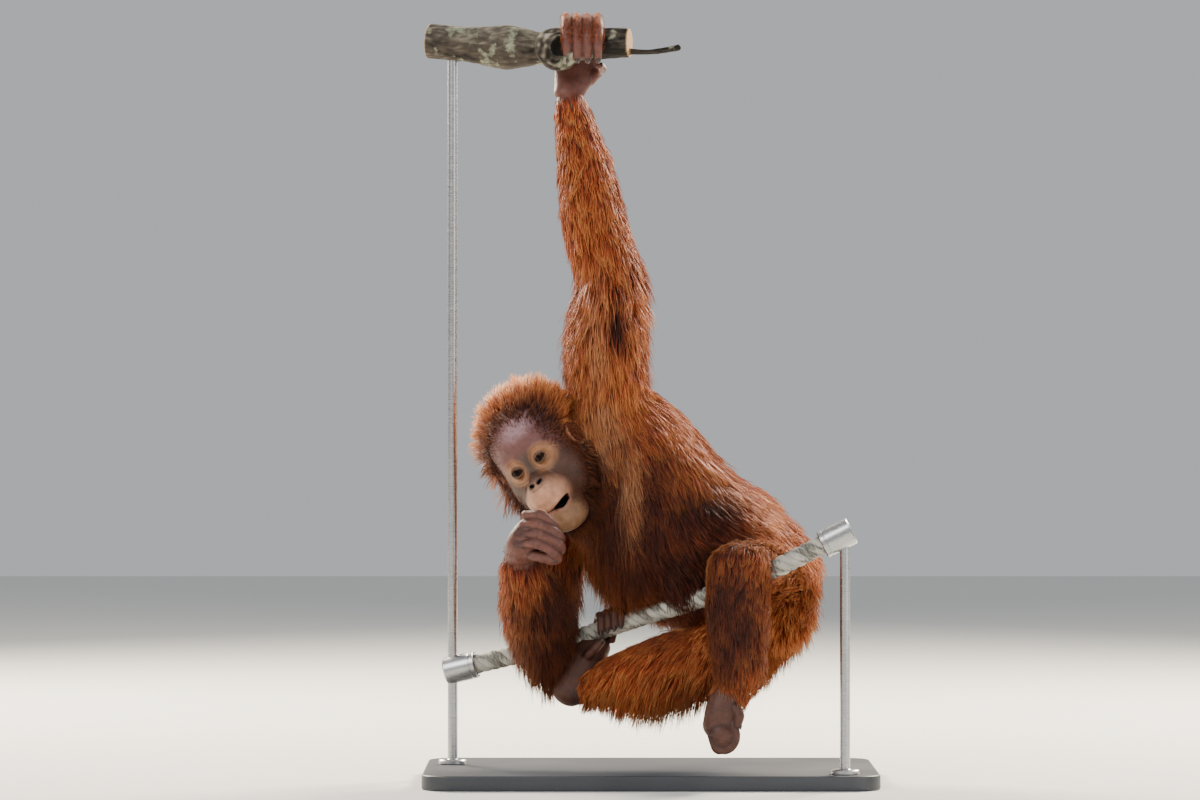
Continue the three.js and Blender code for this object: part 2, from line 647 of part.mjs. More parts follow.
// Right foot: the heel hangs at the viewer's left, and the toes close over the rope from behind
const FOOT_RIGHT = {
  toe: 5.4,
  spacing: 9.4,
  thumb: { line: [[-78, -18, 148], [-68, -26, 160], [-58, -29, 170]], girth: 6.2 },
  sole: {
    line: [[-99, -12, 107], [-80, -8, 138], [-63, 4, 166]],
    girth: [[20, 17], [25, 17], [18, 12]], side: [0.8, 0.2, -0.4], sides: 10, rings: 8,
  },
  ankle: {
    line: [[-62, -16, 118], [-78, -12, 114], [-94, -12, 108]],
    girth: [[19, 20], [19, 20], [17, 17]], side: [0, 1, 0], sides: 8, rings: 6,
  },
};
function footRight(grow) {
  const pieces = [limbSolid(FOOT_RIGHT.sole, grow), limbSolid(FOOT_RIGHT.ankle, grow)];
  for (let k = 0; k < 4; k++) {
    const shift = (k - 1.4) * FOOT_RIGHT.spacing;
    const base = [-50 + shift * 0.86, -10 - shift * 0.38, 184.5 + shift * 0.34];
    const line = [[-9, 15, -20], [-3, 20, 4], [0, 6, 19], [2, -13, 16], [2, -19, -1]]
      .map(([x, y, z]) => [base[0] + x, base[1] + y, base[2] + z]);
    pieces.push(limbSolid(digit(line, FOOT_RIGHT.toe), grow));
  }
  pieces.push(limbSolid(digit(FOOT_RIGHT.thumb.line, FOOT_RIGHT.thumb.girth), grow));
  return union(pieces);
}

// A straight round bar between two points
function bar(from, to, radius, sides = 10) {
  const run = vec(to).sub(vec(from));
  const g = new THREE.CylinderGeometry(radius, radius, run.length(), sides);
  const upright = new THREE.Vector3(0, 1, 0);
  g.applyQuaternion(new THREE.Quaternion().setFromUnitVectors(upright, run.clone().normalize()));
  g.translate(...vec(from).addScaledVector(run, 0.5).toArray());
  return solid(g);
}

// The rope's line, and the way it heads at each end
const ropeCurve = new THREE.CatmullRomCurve3(ROPE_LINE.map(vec), false, 'centripetal');
const headingInto = { left: ropeCurve.getTangentAt(0), right: ropeCurve.getTangentAt(1).negate() };

// The rope: a section of round strands that turns as it runs
function rope(grow) {
  const length = ropeCurve.getLength();
  const steps = Math.round(length / ROPE_STEP);
  const perStrand = STRAND_SWELLS.length;
  const sides = ROPE_STRANDS * perStrand;
  const sphere = new THREE.SphereGeometry(1, sides, steps + 2);
  const position = sphere.attributes.position;
  const p = new THREE.Vector3();
  for (let i = 0; i < position.count; i++) {
    p.fromBufferAttribute(position, i);
    const ring = Math.round((Math.acos(THREE.MathUtils.clamp(p.y, -1, 1)) / Math.PI) * (steps + 2));
    const index = Math.round((Math.atan2(p.z, p.x) / (2 * Math.PI)) * sides);
    const place = THREE.MathUtils.clamp((ring - 1) / steps, 0, 1);
    const tangent = ropeCurve.getTangentAt(place);
    const width = new THREE.Vector3().crossVectors(tangent, new THREE.Vector3(0, 0, 1)).normalize();
    const depth = new THREE.Vector3().crossVectors(width, tangent);
    const swell = STRAND_SWELLS[((index % perStrand) + perStrand) % perStrand];
    const ends = ring === 0 || ring === steps + 2 ? 0 : swell * ROPE_RADIUS + grow;
    const turn = (index / sides + (place * length) / ROPE_LAY / ROPE_STRANDS) * 2 * Math.PI;
    p.copy(ropeCurve.getPointAt(place))
      .addScaledVector(width, Math.cos(turn) * ends)
      .addScaledVector(depth, Math.sin(turn) * ends);
    position.setXYZ(i, p.x, p.y, p.z);
  }
  return outward(sphere);
}

// The branch: a bent, knotted length with the stub of a side branch, hollow at its mouth, and a thin twig
function branch(grow) {
  const main = {
    line: BRANCH_LINE, girth: BRANCH_GIRTH.map((r) => [r, r * 0.96]), side: [0, 1, 0], sides: 10, rings: 12,
    cap: 0.3,
  };
  const stub = vec(KNOT.at);
  const mouth = stub.clone().add(new THREE.Vector3(2, -KNOT.reach, 1));
  const twig = { line: TWIG.line, girth: TWIG.girth.map((r) => [r, r]), sides: 6, rings: 7 };
  const pieces = [
    limbSolid(main, grow),
    ellipsoid(stub, [KNOT.outer, KNOT.reach, KNOT.outer * 1.05], grow, undefined, 10, 7),
    limbSolid(twig, grow),
  ];
  const hollow = ellipsoid(mouth, [KNOT.mouth * 0.8, KNOT.depth, KNOT.mouth], -grow, undefined, 9, 6);
  return union(pieces).subtract(hollow);
}

// A rod with its foot, and a ferrule at the height of the rope
function rod({ x, y, top }, end, inward, grow) {
  const rest = BASE.thickness + GAP;
  const pieces = [
    bar([x, y, rest - grow], [x, y, top + grow], ROD_RADIUS + grow),
    bar([x, y, rest - grow], [x, y, rest + FOOT_HEIGHT + grow], FOOT_RADIUS + grow, 14),
  ];
  const back = vec(end).addScaledVector(inward, -FERRULE.behind - grow).toArray();
  const front = vec(end).addScaledVector(inward, FERRULE.depth + grow).toArray();
  pieces.push(bar(back, front, FERRULE.outer + grow, 14));
  return union(pieces);
}

// The base: a flat plate with round corners and an eased edge
function base(grow) {
  const { length, width, thickness, corner, bevel } = BASE;
  const x = length / 2 - bevel;
  const y = width / 2 - bevel;
  const shape = new THREE.Shape();
  shape.moveTo(-x + corner, -y);
  shape.lineTo(x - corner, -y);
  shape.absarc(x - corner, -y + corner, corner, -Math.PI / 2, 0);
  shape.absarc(x - corner, y - corner, corner, 0, Math.PI / 2);
  shape.absarc(-x + corner, y - corner, corner, Math.PI / 2, Math.PI);
  shape.absarc(-x + corner, -y + corner, corner, Math.PI, 1.5 * Math.PI);
  const g = new THREE.ExtrudeGeometry(shape, {
    depth: thickness - 2 * bevel, bevelThickness: bevel, bevelSize: bevel, bevelSegments: 1,
    curveSegments: 4,
  });
  g.translate(0, 0, bevel);
  return solid(g);
}

// Every node in the order in which it is fitted: each is cut clear of those before it
const furry = (name) => (grow) => {
  const locks = COATS[name] ? limbLocks(name, grow) : [];
  const fringe = name === 'torso' ? fringeLocks(grow) : [];
  return union([limbSolid(FLESH[name], grow), ...locks, ...fringe]);
};
const NODES = [
  ['stand_base', PLINTH, base],
  ['perch_branch', BARK, branch],
  ['perch_rope', ROPE_FIBRE, rope],
  ['stand_rod_tall', STEEL, (grow) => rod(ROD_LEFT, ROPE_LINE[0], headingInto.left, grow)],
  ['stand_rod_short', STEEL, (grow) => rod(ROD_RIGHT, ROPE_LINE.at(-1), headingInto.right, grow)],
  ['eye_left', EYE_GLOSS, eyeball(1)],
  ['eye_right', EYE_GLOSS, eyeball(-1)],
  ['hand_left', BARE_SKIN, handLeft],
  ['hand_right', BARE_SKIN, handRight],
  ['foot_left', BARE_SKIN, footLeft],
  ['foot_right', BARE_SKIN, footRight],
  ['ear_left', EAR_SKIN, ear(1)],
  ['ear_right', EAR_SKIN, ear(-1)],
  ['head', DARK_COAT, head],
  ['torso', COAT, furry('torso')],
  ['neck', COAT, furry('neck')],
  ['forearm_left', COAT, furry('forearm_left')],
  ['upper_arm_left', COAT, furry('upper_arm_left')],
  ['forearm_right', COAT, furry('forearm_right')],
  ['upper_arm_right', COAT, furry('upper_arm_right')],
  ['shin_left', DARK_COAT, furry('shin_left')],
  ['thigh_left', DARK_COAT, furry('thigh_left')],
  ['shin_right', COAT, furry('shin_right')],
  ['thigh_right', COAT, furry('thigh_right')],
];

// A finished solid as a mesh of the group
function meshOf(name, material, body) {
  const { vertProperties, triVerts } = body.getMesh();
  const geometry = new THREE.BufferGeometry();
  geometry.setAttribute('position', new THREE.BufferAttribute(vertProperties, 3));
  geometry.setIndex(new THREE.BufferAttribute(triVerts, 1));
  geometry.computeVertexNormals();
  const mesh = new THREE.Mesh(geometry, material);
  mesh.name = name;
  return mesh;
}

function fitted() {
  const group = new THREE.Group();
  const earlier = [];
  for (const [name, material, build] of NODES) {
    let body = build(0);
    for (const grown of earlier) body = body.subtract(grown);
    group.add(meshOf(name, material, largest(merged(largest(body)))));
    earlier.push(build(GAP));
  }
  return group;
}

export default fitted();
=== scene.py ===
# %% [markdown]
# # A young orangutan between a branch and a rope
# This notebook dresses a still, life-size model of a young orangutan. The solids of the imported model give
# every place and size. Here they get a living skin, eyes, nails and a long coat, and their perches get bark
# and twisted fibre. Millimetres are easier to read than metres, so sizes are written in millimetres and
# turned to metres as a mesh is made. Left and right in names are the animal's own.

# %% Load the solids
import math

import bmesh
import bpy
import numpy as np
from mathutils import Matrix, Vector, kdtree, noise
from mathutils.bvhtree import BVHTree


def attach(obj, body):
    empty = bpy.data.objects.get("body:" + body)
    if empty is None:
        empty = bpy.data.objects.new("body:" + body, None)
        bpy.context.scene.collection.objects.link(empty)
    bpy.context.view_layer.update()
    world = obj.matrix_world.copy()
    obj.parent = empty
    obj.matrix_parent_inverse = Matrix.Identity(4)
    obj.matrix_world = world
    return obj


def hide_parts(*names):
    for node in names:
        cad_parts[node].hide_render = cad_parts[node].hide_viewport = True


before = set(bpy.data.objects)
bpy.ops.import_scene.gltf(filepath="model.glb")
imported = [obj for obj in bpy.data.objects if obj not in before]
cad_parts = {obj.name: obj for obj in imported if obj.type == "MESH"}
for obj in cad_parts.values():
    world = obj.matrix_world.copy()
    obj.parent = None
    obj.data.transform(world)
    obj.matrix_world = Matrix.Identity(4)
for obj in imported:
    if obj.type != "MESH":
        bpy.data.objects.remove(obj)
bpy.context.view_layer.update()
MM = 0.001

# %% [markdown]
# ## Floor, light and camera
# A museum photographs such a model on a pale floor in soft light. Two large lamps from the front keep the
# face readable, and two behind and above rim the coat, because its thin golden tips are what the eye
# remembers. The camera stands level, six metres off, with a long lens, so that the proportions stay true.

# %% Floor, backdrop, lamps and camera
STAGE_SIZE = 14.0
CAMERA_AT = (-0.06, -6.0, 0.458)
LAMPS = {
    "key_lamp": {"at": (-1.9, -2.6, 2.6), "size": 1.9, "watts": 95, "colour": (1.0, 0.97, 0.93)},
    "fill_lamp": {"at": (2.6, -2.6, 1.3), "size": 2.4, "watts": 38, "colour": (0.93, 0.96, 1.0)},
    "rim_lamp_left": {"at": (-1.7, 1.9, 1.7), "size": 1.0, "watts": 240, "colour": (1.0, 0.87, 0.7)},
    "rim_lamp_right": {"at": (1.6, 1.7, 1.9), "size": 1.0, "watts": 270, "colour": (1.0, 0.87, 0.7)},
}
LOOK_AT = Vector((-0.02, -0.02, 0.40))
SKY = {"Color": (0.86, 0.89, 0.93, 1), "Strength": 0.55}
LENS = {"lens": 150, "sensor_width": 36, "clip_end": 50}

scene = bpy.context.scene
floor_mesh = bmesh.new()
bmesh.ops.create_grid(floor_mesh, x_segments=1, y_segments=1, size=STAGE_SIZE / 2)
floor_data = bpy.data.meshes.new("floor")
floor_mesh.to_mesh(floor_data)
floor_mesh.free()
floor = bpy.data.objects.new("floor", floor_data)
scene.collection.objects.link(floor)

for name, lamp in LAMPS.items():
    light = bpy.data.lights.new(name, "AREA")
    light.size = lamp["size"]
    light.energy = lamp["watts"]
    light.color = lamp["colour"]
    holder = bpy.data.objects.new(name, light)
    holder.location = lamp["at"]
    holder.rotation_euler = (LOOK_AT - Vector(lamp["at"])).to_track_quat("-Z", "Y").to_euler()
    scene.collection.objects.link(holder)

world = bpy.data.worlds.new("studio")
world.use_nodes = True
for key, value in SKY.items():
    world.node_tree.nodes["Background"].inputs[key].default_value = value
scene.world = world

camera = bpy.data.objects.new("camera", bpy.data.cameras.new("camera"))
for key, value in LENS.items():
    setattr(camera.data, key, value)
camera.location = CAMERA_AT
camera.rotation_euler = (math.radians(90), 0, 0)
scene.collection.objects.link(camera)
scene.camera = camera
print("stage and", len(LAMPS), "lamps")

# %% [markdown]
# ## Small helpers
# Every finish is a little graph of nodes, so one function adds a node, sets it and links it, and a few more
# name the graphs that come back in every finish. Colours are written as the hex values that a paint program
# shows, and one function turns them to linear light.

# %% Helpers for colours, nodes and meshes
def linear(hex_colour):
    """An sRGB hex value as a linear colour with full alpha"""
    parts = [int(hex_colour[i : i + 2], 16) / 255 for i in (1, 3, 5)]
    return (*[p / 12.92 if p <= 0.04045 else ((p + 0.055) / 1.055) ** 2.4 for p in parts], 1.0)


def set_inputs(tree, node, inputs):
    """Sets a node's inputs: each takes a value or the output of another node"""
    for key, value in inputs.items():
        if isinstance(value, bpy.types.NodeSocket):
            tree.links.new(value, node.inputs[key])
        else:
            node.inputs[key].default_value = value


def add_node(tree, kind, inputs=None, stops=None, **settings):
    """Adds a node with its settings and inputs. Stops, as places and hex colours, fill a ramp"""
    made = tree.nodes.new(kind)
    for name, value in settings.items():
        setattr(made, name, value)
    set_inputs(tree, made, inputs or {})
    if stops:
        ramp = made.color_ramp
        while len(ramp.elements) < len(stops):
            ramp.elements.new(1.0)
        for element, (place, colour) in zip(ramp.elements, stops):
            element.position = place
            element.color = linear(colour)
    return made


def mark(tree, name, output="Fac"):
    """What a named attribute of the mesh says"""
    return add_node(tree, "ShaderNodeAttribute", attribute_name=name).outputs[output]


def stretched(tree, scale, place=None):
    """Places on the object, or others, drawn out by a scale"""
    place = place or add_node(tree, "ShaderNodeTexCoord").outputs["Object"]
    return add_node(tree, "ShaderNodeMapping", {"Vector": place, "Scale": scale}).outputs[0]


def cloud(tree, scale, detail, place=None, **more):
    """Soft noise as a value, over places on the object or others"""
    place = place or add_node(tree, "ShaderNodeTexCoord").outputs["Object"]
    inputs = {"Vector": place, "Scale": scale, "Detail": detail, **more}
    return add_node(tree, "ShaderNodeTexNoise", inputs).outputs["Fac"]


def ramp(tree, share, *stops):
    """Colours that a value from 0 to 1 runs along"""
    return add_node(tree, "ShaderNodeValToRGB", {"Fac": share}, stops).outputs["Color"]


def mixed(tree, share, first, second):
    """Two colours mixed by a share"""
    return add_node(tree, "ShaderNodeMix", {0: share, 6: first, 7: second}, data_type="RGBA").outputs[2]


def remap(tree, value, low, high, to_low=0.0, to_high=1.0):
    """A value taken from one span to another, and kept inside it"""
    inputs = {"Value": value, 1: low, 2: high, 3: to_low, 4: to_high}
    return add_node(tree, "ShaderNodeMapRange", inputs).outputs[0]


def times_plus(tree, value, factor, more):
    """A value times a factor, plus more"""
    inputs = {0: value, 1: factor, 2: more}
    return add_node(tree, "ShaderNodeMath", inputs, operation="MULTIPLY_ADD").outputs[0]


def scaled(tree, colour, factor):
    """A colour made lighter or darker by a factor"""
    return add_node(tree, "ShaderNodeVectorMath", {0: colour, 3: factor}, operation="SCALE").outputs[0]


def bump(tree, height, strength, depth):
    """The normal over a height that goes up and down by a depth in metres"""
    inputs = {"Height": height, "Strength": strength, "Distance": depth}
    return add_node(tree, "ShaderNodeBump", inputs).outputs[0]


def new_material(name):
    """An empty material: its tree and its shader"""
    made = bpy.data.materials.new(name)
    made.use_nodes = True
    return made, made.node_tree, made.node_tree.nodes["Principled BSDF"]


def write_marks(mesh, name, values):
    """Keeps a number or a vector for each point of a mesh as a named attribute"""
    values = np.asarray(values, np.float32)
    kind, field = ("FLOAT_VECTOR", "vector") if values.shape[1:] == (3,) else ("FLOAT", "value")
    mesh.attributes.new(name, kind, "POINT").data.foreach_set(field, values.ravel())


def place_object(name, mesh, material, replaces=(), smooth=True):
    """Links a mesh as a piece of the model that rides on its one body"""
    if smooth:
        mesh.shade_smooth()
    piece = bpy.data.objects.new(name, mesh)
    scene.collection.objects.link(piece)
    mesh.materials.clear()
    mesh.materials.append(material)
    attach(piece, "root")
    if replaces:
        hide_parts(*replaces)
    print(f"{name}: {len(mesh.vertices)} vertices, {len(mesh.polygons)} faces")
    return piece


# %% [markdown]
# ## Lines and limbs
# A limb is a line of points with an oval section. A ball drawn out along that line is the simplest closed
# limb, and balls run into each other well when a voxel remesh melts them into one skin later on.

# %% Helpers that draw a ball out along a line
SAMPLES = 30  # places worked out between two points of a line
STATIONS = 64  # places along a limb at which its section is known
SIDEWAYS = (1, 0, 0)
ALL_AXES = {"use_axis_x": True, "use_axis_y": True, "use_axis_z": True}


def unit(v):
    """Vectors scaled to a length of one"""
    return v / np.maximum(np.linalg.norm(v, axis=-1, keepdims=True), 1e-12)


def between(t, low, high, first, last):
    """A blend from one place to another as t goes from low to high"""
    share = (high - t) / (high - low)
    return share * first + (1 - share) * last


def course(points, count):
    """A smooth line through points: even places along it, its direction there and its length"""
    p = np.array(points, float)
    p = np.vstack([2 * p[0] - p[1], p, 2 * p[-1] - p[-2]])
    pieces = []
    for a, b, c, d in zip(p, p[1:], p[2:], p[3:]):
        knots = np.cumsum([0, *[math.sqrt(max(np.linalg.norm(v), 1e-6)) for v in (b - a, c - b, d - c)]])
        t = np.linspace(knots[1], knots[2], SAMPLES, endpoint=False)[:, None]
        one = [between(t, knots[i], knots[i + 1], *ends) for i, ends in enumerate(((a, b), (b, c), (c, d)))]
        two = [between(t, knots[i], knots[i + 2], one[i], one[i + 1]) for i in (0, 1)]
        pieces.append(between(t, knots[1], knots[2], *two))
    dense = np.vstack([*pieces, p[-2][None]])
    run = np.concatenate([[0], np.cumsum(np.linalg.norm(np.diff(dense, axis=0), axis=1))])
    even = np.linspace(0, run[-1], count)
    at = np.stack([np.interp(even, run, dense[:, k]) for k in range(3)], axis=1)
    return at, unit(np.gradient(at, axis=0)), run[-1]


def stations(line, girth, side=SIDEWAYS, **_):
    """A limb's middles, directions and half sizes at even places along it"""
    at, tangent, _ = course(line, STATIONS)
    side = np.array(side, float)
    width = unit(side - (tangent @ side)[:, None] * tangent)
    depth = np.cross(tangent, width)
    rows = np.array([np.atleast_1d(g) * np.ones(2) for g in girth], float)
    even = np.linspace(0, len(rows) - 1, STATIONS)
    half = np.stack([np.interp(even, range(len(rows)), rows[:, k]) for k in (0, 1)], axis=1)
    return {"at": at, "tangent": tangent, "width": width, "depth": depth, "half": half}


def add_limb(bm, line, girth, side=SIDEWAYS, sides=20, rings=26, cap=0.85, cap_share=0.16):
    """Draws a ball out along a line, round at both ends, into a bmesh in millimetres"""
    limb = stations(line, girth, side)
    verts = bmesh.ops.create_uvsphere(bm, u_segments=sides, v_segments=rings, radius=1)["verts"]
    ball = np.array([v.co for v in verts])
    share = np.arccos(np.clip(ball[:, 2], -1, 1)) / math.pi
    place = np.clip((share - cap_share) / (1 - 2 * cap_share), 0, 1) * (len(limb["at"]) - 1)
    low = np.minimum(place.astype(int), len(limb["at"]) - 2)
    part = (place - low)[:, None]
    at, tangent, width, depth, half = [row[low] * (1 - part) + row[low + 1] * part for row in limb.values()]
    bulge = np.minimum(np.minimum(share, 1 - share) / cap_share, 1) * math.pi / 2
    turn = np.arctan2(ball[:, 1], ball[:, 0])
    beyond = np.where(share < 0.5, -1, 1) * np.cos(bulge) * cap * half.min(axis=1)
    co = at + beyond[:, None] * tangent
    co += (np.cos(turn) * np.sin(bulge) * half[:, 0])[:, None] * width
    co += (np.sin(turn) * np.sin(bulge) * half[:, 1])[:, None] * depth
    for v, place_now in zip(verts, co):
        v.co = place_now


def soften(bm, verts, factor, rounds=1):
    """Smooths points towards their neighbours"""
    for _ in range(rounds):
        bmesh.ops.smooth_vert(bm, verts=verts, factor=factor, **ALL_AXES)


def spun(bm, profile, steps):
    """Turns a profile of radii and heights once round the upright axis, and gives back its points"""
    before = set(bm.verts)
    points = [bm.verts.new((radius, 0, height)) for radius, height in profile]
    edges = [bm.edges.new(pair) for pair in zip(points, points[1:])]
    bmesh.ops.spin(bm, geom=points + edges, axis=(0, 0, 1), cent=(0, 0, 0), angle=2 * math.pi, steps=steps,
                   use_merge=True)
    bmesh.ops.remove_doubles(bm, verts=[v for v in bm.verts if v not in before], dist=1e-4)
    return [v for v in bm.verts if v not in before]


def finished(bm, name):
    """A bmesh in millimetres as a mesh in metres, its faces turned outwards"""
    bmesh.ops.scale(bm, vec=(MM, MM, MM), verts=bm.verts)
    bmesh.ops.recalc_face_normals(bm, faces=bm.faces)
    mesh = bpy.data.meshes.new(name)
    bm.to_mesh(mesh)
    bm.free()
    return mesh


def melted(mesh, voxel, passes, cutter=None):
    """The mesh remade in voxels of a size in millimetres, so that its balls become one skin, then smoothed"""
    holder = bpy.data.objects.new(mesh.name, mesh)
    scene.collection.objects.link(holder)
    if cutter:
        tool = bpy.data.objects.new("cutter", cutter)
        scene.collection.objects.link(tool)
        cut = holder.modifiers.new("cut", "BOOLEAN")
        cut.operation = "DIFFERENCE"
        cut.solver = "EXACT"
        cut.use_self = True
        cut.object = tool
    remesh = holder.modifiers.new("remesh", "REMESH")
    remesh.mode = "VOXEL"
    remesh.voxel_size = voxel * MM
    smooth = holder.modifiers.new("smooth", "SMOOTH")
    smooth.factor = 0.5
    smooth.iterations = passes
    view = bpy.context.evaluated_depsgraph_get()
    made = bpy.data.meshes.new_from_object(holder.evaluated_get(view))
    made.name = mesh.name
    bpy.data.objects.remove(holder)
    if cutter:
        bpy.data.objects.remove(tool)
    return made


def rolled(name, rows, caps=True, bm=None):
    """Rolls a grid into a tube. rows holds, for each step along it, the places round it in millimetres"""
    rows = np.asarray(rows, float)
    steps, sides = rows.shape[:2]
    own = bm is None
    bm = bm or bmesh.new()
    verts = bmesh.ops.create_grid(bm, x_segments=sides, y_segments=steps - 1, size=1)["verts"]
    for v in verts:
        column = round((v.co.x + 1) / 2 * sides) % sides
        row = round((v.co.y + 1) / 2 * (steps - 1))
        v.co = rows[row, column]
    bmesh.ops.remove_doubles(bm, verts=verts, dist=1e-4)
    left = [v for v in verts if v.is_valid]
    if caps:
        rims = list({e for v in left for e in v.link_edges if e.is_boundary})
        bmesh.ops.holes_fill(bm, edges=rims)
    return finished(bm, name) if own else bm


print("helpers ready")

# %% [markdown]
# ## The body under the coat
# These are the same lines and sections as the solids have: one for the torso, the neck and each half of a
# limb. A row of hair sizes goes with each, from its first end to its last, because the coat will be combed
# along the same lines. Every value is in millimetres.

# %% Sizes of the flesh and of its coat
FLESH = {
    "torso": {
        "line": [(-54, -4, 438), (-22, 2, 394), (2, 5, 346), (30, 7, 300), (78, 13, 276), (130, 26, 242)],
        "girth": [(52, 54), (72, 73), (80, 88), (86, 95), (84, 84), (68, 70)], "side": (0, 1, 0),
        "flow": 1, "length": (40, 44, 48, 50, 52, 54), "stand": (10, 12, 14, 16, 20, 24), "hang": 0.35,
    },
    "neck": {
        "line": [(-66, -2, 400), (-96, -18, 396), (-122, -30, 392)],
        "girth": [(44, 42), (40, 40), (38, 38)], "side": (0, 1, 0),
        "flow": -1, "length": (40, 38, 34), "stand": (10, 10, 12), "hang": 0.3,
    },
    "upper_arm_left": {
        "line": [(-47, -22, 436), (-54, -22, 530), (-50, -6, 612)],
        "girth": [(38, 36), (39, 34), (32, 29)],
        "flow": -0.6, "length": (44, 48, 52), "stand": (12, 18, 22), "hang": 0.5,
    },
    "forearm_left": {
        "line": [(-52, -4, 620), (-66, 3, 668), (-78, 10, 735), (-97, 21, 822)],
        "girth": [(34, 31), (34, 31), (28, 24), (18, 14)],
        "flow": -1, "length": (48, 42, 34, 24), "stand": (16, 11, 8, 4), "hang": 0.3,
    },
    "upper_arm_right": {
        "line": [(-92, 66, 340), (-122, 48, 272), (-128, 6, 188)],
        "girth": [(40, 38), (36, 34), (29, 28)],
        "flow": 1, "length": (42, 46, 46), "stand": (12, 14, 16), "hang": 0.35,
    },
    "forearm_right": {
        "line": [(-127, -8, 181), (-138, -58, 214), (-154, -128, 270)],
        "girth": [(32, 30), (34, 31), (21, 18)],
        "flow": -1, "length": (46, 44, 26), "stand": (14, 12, 5), "hang": 0.6,
    },
    "thigh_left": {
        "line": [(144, -14, 232), (124, -76, 252), (104, -134, 264)],
        "girth": [(46, 46), (38, 37), (29, 25)],
        "flow": 1, "length": (44, 38, 28), "stand": (16, 10, 6), "hang": 0.35,
    },
    "shin_left": {
        "line": [(102, -138, 266), (102, -139, 214), (103, -138, 162), (104, -136, 130)],
        "girth": [(33, 27), (36, 28), (33, 27), (26, 20)],
        "flow": 1, "length": (28, 32, 34, 26), "stand": (5, 6, 8, 7), "hang": 0.2,
    },
    "thigh_right": {
        "line": [(134, 64, 214), (108, 2, 184), (80, -58, 160)],
        "girth": [(46, 46), (40, 38), (31, 30)], "side": (0, 0, 1),
        "flow": 1, "length": (50, 46, 40), "stand": (18, 16, 12), "hang": 0.6,
    },
    "shin_right": {
        "line": [(78, -62, 160), (28, -46, 148), (-26, -30, 132), (-64, -16, 118)],
        "girth": [(30, 30), (33, 32), (27, 26), (19, 20)], "side": (0, 1, 0),
        "flow": 0.9, "length": (40, 44, 36, 17), "stand": (10, 14, 11, 4), "hang": 0.8,
    },
}
for limb in FLESH.values():
    limb.update(stations(**limb))

# The head's middle, and its own forward, left and up axes
HEAD_AT = np.array((-133, -40, 394), float)
HEAD_AXES = np.array([(-0.279, -0.94, -0.197), (0.768, -0.342, 0.541), (-0.576, 0, 0.817)])


def from_head(points):
    """Places in the head's own forward, left and up axes, brought into the model"""
    return HEAD_AT + np.asarray(points, float) @ HEAD_AXES


def into_head(points):
    """Places in the model, brought into the head's own axes"""
    return (np.asarray(points, float) - HEAD_AT) @ HEAD_AXES.T


print("limbs:", len(FLESH))

# %% [markdown]
# ## Hands and feet
# An orangutan's hands are long hooks. Each digit is a drawn-out ball that swells a little at its knuckles,
# and the palm and sole are thicker ones. They are melted together in fine voxels, so that the skin runs
# on between the fingers, and a smoothing pass takes the voxel steps away.

# %% Digits, palms and soles
KNUCKLES = (1.0, 0.93, 1.05, 0.93, 1.03, 0.9, 0.74)  # a digit's radius from root to tip


def digit(line, radius):
    """A digit's line, with its girth from the knuckle to the tip"""
    return {"line": line, "girth": [(radius * k, radius * k * 0.95) for k in KNUCKLES], "cap": 0.8}


def moved(line, by):
    """A line of points, each moved by the same step"""
    return [tuple(a + b for a, b in zip(point, by)) for point in line]


